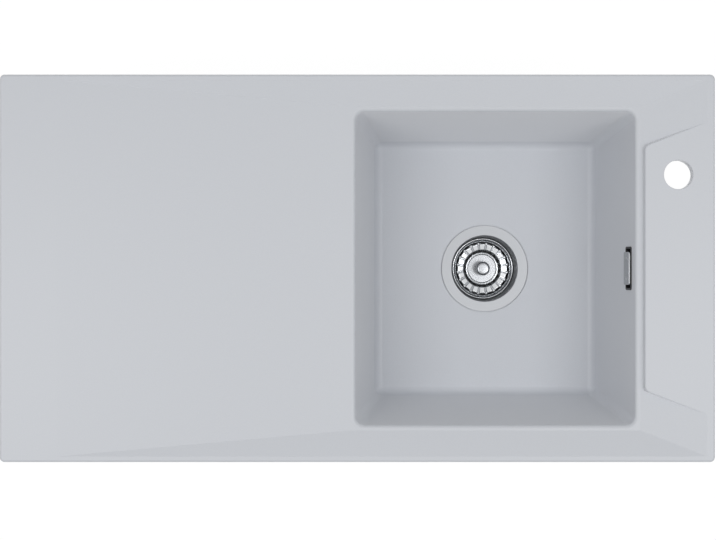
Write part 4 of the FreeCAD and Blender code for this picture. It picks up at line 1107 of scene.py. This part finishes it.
@dataclass
class Clips:
    """The eight clips under the rim: plug, threaded stud, claw, washer and nut."""

    names: tuple[str, ...] = (
        "clip_front_left",
        "clip_front_middle",
        "clip_front_right",
        "clip_back_left",
        "clip_back_middle",
        "clip_back_right",
        "clip_left",
        "clip_right",
    )
    stud_radius: float = 3.0
    thread_depth: float = 0.5
    pitch: float = 1.0
    stud_low: float = -66.0
    stop_height: float = 2.0
    stop_radius: float = 5.0
    stop_edge: float = 0.4
    stud_sides: int = 24
    turn_rows: int = 6
    thread_high: float = -17.6
    stud_high: float = -4.4
    nut_flats: float = 10.0
    nut_height: float = 5.0
    nut_bore: float = 3.06
    nut_edge: float = 0.4
    nut_face: float = 0.94
    nut_cone: float = 30.0
    nut_sides: int = 96

    def centre(self, name: str) -> np.ndarray:
        """Find a clip's axis, as the middle of its washer, in millimetres."""
        low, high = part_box(f"{name}_washer")
        return np.array((low + high) / 2) / MM

    def stud(self, axis: np.ndarray) -> Surface:
        """Roll one stud: a round stop at its foot, a thread, and a plain end in its plug.

        The radius is the thread's ridge at each height and angle, and fades out at both ends.

        Args:
            axis: a point on the stud's axis.

        Returns:
            The surface, whose rows run up from the middle of the stop's foot.
        """
        wide, edge = self.stop_radius, self.stop_edge
        base, low = self.stud_low, self.stud_low + self.stop_height
        foot = np.array(
            [(0.0, base), (wide - edge, base), (wide, base + edge), (wide, low - edge), (wide - edge, low)]
        )
        rows = round(self.turn_rows * (self.thread_high - low) / self.pitch)
        height = np.linspace(low, self.thread_high, rows)[:, None]
        angle = full_turn(self.stud_sides)
        cut = self.thread_depth * (1.0 - thread_ridge(height, angle, self.pitch))
        cut = cut * faded(height, low, self.thread_high, self.pitch)
        level = np.ones_like(angle)
        top = np.array([self.stud_radius, 0.0])[:, None] * level
        radius = np.concatenate([foot[:, :1] * level, self.stud_radius - cut, top])
        heights = np.concatenate([foot[:, 1:], height, [[self.stud_high], [self.stud_high]]])
        points = round_axis(radius, heights, angle, (axis[0], axis[1], 0.0))
        return Surface(points, closed_columns=True)

    def nut(self, name: str) -> Surface:
        """Forge one hexagon nut with chamfered corners.

        The outer radius is the hexagon's at each angle, half the flats over the cosine of the
        angle from the nearest flat's middle. The corners' tops follow a cone.

        Args:
            name: the clip's name.

        Returns:
            The surface, whose rows run from the bore's foot round the outside to its top.
        """
        low, high = (np.array(corner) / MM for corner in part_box(f"{name}_nut"))
        centre = (low + high) / 2
        along_y = (high - low)[1] > (high - low)[0]
        angle = full_turn(self.nut_sides) + 0.5 * TURN / self.nut_sides
        sector = TURN / 6
        from_flat = (angle + (sector / 2 if along_y else 0.0)) % sector - sector / 2
        half = self.nut_flats / 2
        level = np.ones_like(angle)
        hexagon, face = half / np.cos(from_flat), self.nut_face * half * level
        bore, lead = self.nut_bore * level, (self.nut_bore + self.nut_edge) * level
        top = self.nut_height / 2 * level
        shoulder = top - (hexagon - face) * math.tan(math.radians(self.nut_cone))
        inner = top - self.nut_edge
        radius = np.array([bore, lead, face, hexagon, hexagon, face, lead, bore])
        heights = np.array([-inner, -top, -top, -shoulder, shoulder, top, top, inner])
        points = round_axis(radius, heights, angle, centre)
        return Surface(points, closed_rows=True, closed_columns=True)

    def build(self, shop: Workshop) -> None:
        """Build and dress the clips' pieces.

        Args:
            shop: the workshop.
        """
        studs = [self.stud(self.centre(name)) for name in self.names]
        shop.hand_over(mesh_of("clip_threaded_studs", studs, 60.0), ZINC, "clip_studs")
        shop.refinish("clip_plugs", NYLON, 0.3)
        for name in self.names:
            shop.refinish(f"{name}_claw", ZINC, 0.35)
            shop.refinish(f"{name}_washer", ZINC, 0.25)
            nut = mesh_of(f"{name}_hexagon", [self.nut(name)], 30.0)
            shop.hand_over(soften(nut, 0.0), ZINC, f"{name}_nut")


@dataclass
class Studio:
    """Camera, lamps, floor and background.

    The camera looks straight down from camera_height above the worktop plane, over the point
    (aim_x, aim_y), and its picture is picture_width wide there. A lamp is its name, its place,
    its width along Y, its length and its power in watts. The floor glows white for rays that
    see it directly, by floor_share, and is plainly lit for the rest, where its shadow shows.
    """

    camera_height: float = 2139.0
    aim_x: float = 0.8
    aim_y: float = -2.0
    picture_width: float = 863.5
    floor_z: float = -317.5
    floor_size: float = 9000.0
    floor_colour: str = "#f4f4f4"
    floor_glow: float = 1.04
    floor_share: float = 0.93
    ambient: float = 0.46
    lamps: tuple[tuple[str, tuple[float, float, float], float, float, float], ...] = (
        ("lamp_left", (-1060.0, -250.0, 2375.0), 450.0, 1300.0, 15.0),
        ("lamp_right", (1060.0, -250.0, 2375.0), 450.0, 1300.0, 15.0),
    )

    def build_camera(self) -> None:
        """Set up the camera straight above the sink."""
        data = bpy.data.cameras.new("camera")
        data.sensor_width = SENSOR_WIDTH
        data.lens = SENSOR_WIDTH * self.camera_height / self.picture_width
        data.clip_end = 50.0
        camera = bpy.data.objects.new("camera", data)
        camera.location = (self.aim_x * MM, self.aim_y * MM, self.camera_height * MM)
        bpy.context.scene.collection.objects.link(camera)
        bpy.context.scene.camera = camera

    def build_lamps(self) -> None:
        """Hang a long soft lamp on each side, turned to the sink."""
        for name, place, width, length, power in self.lamps:
            data = bpy.data.lights.new(name, "AREA")
            data.shape = "RECTANGLE"
            data.size = width * MM
            data.size_y = length * MM
            data.energy = power
            lamp = bpy.data.objects.new(name, data)
            lamp.location = [c * MM for c in place]
            lamp.rotation_euler = (-lamp.location).to_track_quat("-Z", "Y").to_euler()
            bpy.context.scene.collection.objects.link(lamp)

    def build_world(self) -> None:
        """Light the sink from all round, and show white where a ray meets nothing."""
        world = bpy.data.worlds.new("studio")
        world.use_nodes = True
        bpy.context.scene.world = world
        tree = world.node_tree
        tree.nodes.clear()
        ambient, shown = (
            add_node(tree, "ShaderNodeBackground", values={"Strength": strength, "Color": linear("#ffffff")})
            for strength in (self.ambient, 1.0)
        )
        mix = add_node(
            tree,
            "ShaderNodeMixShader",
            links={0: seen_directly(tree), 1: ambient.outputs[0], 2: shown.outputs[0]},
        )
        add_node(tree, "ShaderNodeOutputWorld", links={"Surface": mix.outputs[0]})

    def build_floor(self) -> None:
        """Lay a plain pale floor under the waste, which shows white and keeps a soft shadow."""
        half = 0.5 * self.floor_size * MM
        z = self.floor_z * MM
        mesh = bpy.data.meshes.new("floor")
        corners = [(-half, -half, z), (half, -half, z), (half, half, z), (-half, half, z)]
        mesh.from_pydata(corners, [], [(0, 1, 2, 3)])
        floor = bpy.data.objects.new("floor", mesh)
        bpy.context.scene.collection.objects.link(floor)
        material = bpy.data.materials.new("studio_floor")
        material.use_nodes = True
        tree = material.node_tree
        tree.nodes.clear()
        matt = add_node(tree, "ShaderNodeBsdfDiffuse", values={"Color": linear(self.floor_colour)})
        glow = add_node(tree, "ShaderNodeEmission", values={"Strength": self.floor_glow})
        share = add_node(
            tree,
            "ShaderNodeMath",
            {"operation": "MULTIPLY"},
            {1: self.floor_share},
            {0: seen_directly(tree)},
        )
        mix = add_node(
            tree,
            "ShaderNodeMixShader",
            links={0: share.outputs[0], 1: matt.outputs[0], 2: glow.outputs[0]},
        )
        add_node(tree, "ShaderNodeOutputMaterial", links={"Surface": mix.outputs[0]})
        mesh.materials.append(material)

    def build(self) -> None:
        """Build the whole studio."""
        bpy.context.scene.view_settings.view_transform = "Standard"
        self.build_camera()
        self.build_lamps()
        self.build_world()
        self.build_floor()


def seen_directly(tree: bpy.types.NodeTree) -> bpy.types.NodeSocket:
    """Tell whether a ray comes from the camera, a reflection or a transmission.

    Args:
        tree: a node tree.

    Returns:
        A socket that is 1 for those rays and 0 for the rest.
    """
    path = add_node(tree, "ShaderNodeLightPath")
    total = path.outputs["Is Camera Ray"]
    for name in ("Is Glossy Ray", "Is Transmission Ray"):
        total = add_node(
            tree, "ShaderNodeMath", {"operation": "MAXIMUM"}, links={0: total, 1: path.outputs[name]}
        ).outputs[0]
    return total


def main() -> None:
    """Build the studio and every piece."""
    logging.basicConfig(level=logging.INFO, format="%(name)s: %(message)s")
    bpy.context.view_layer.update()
    Studio().build()
    shop = Workshop()
    for assembly in (Moulding(), Strainer(), Waste(), Overflow(), Clips()):
        assembly.build(shop)


if __name__ == "__main__":
    main()
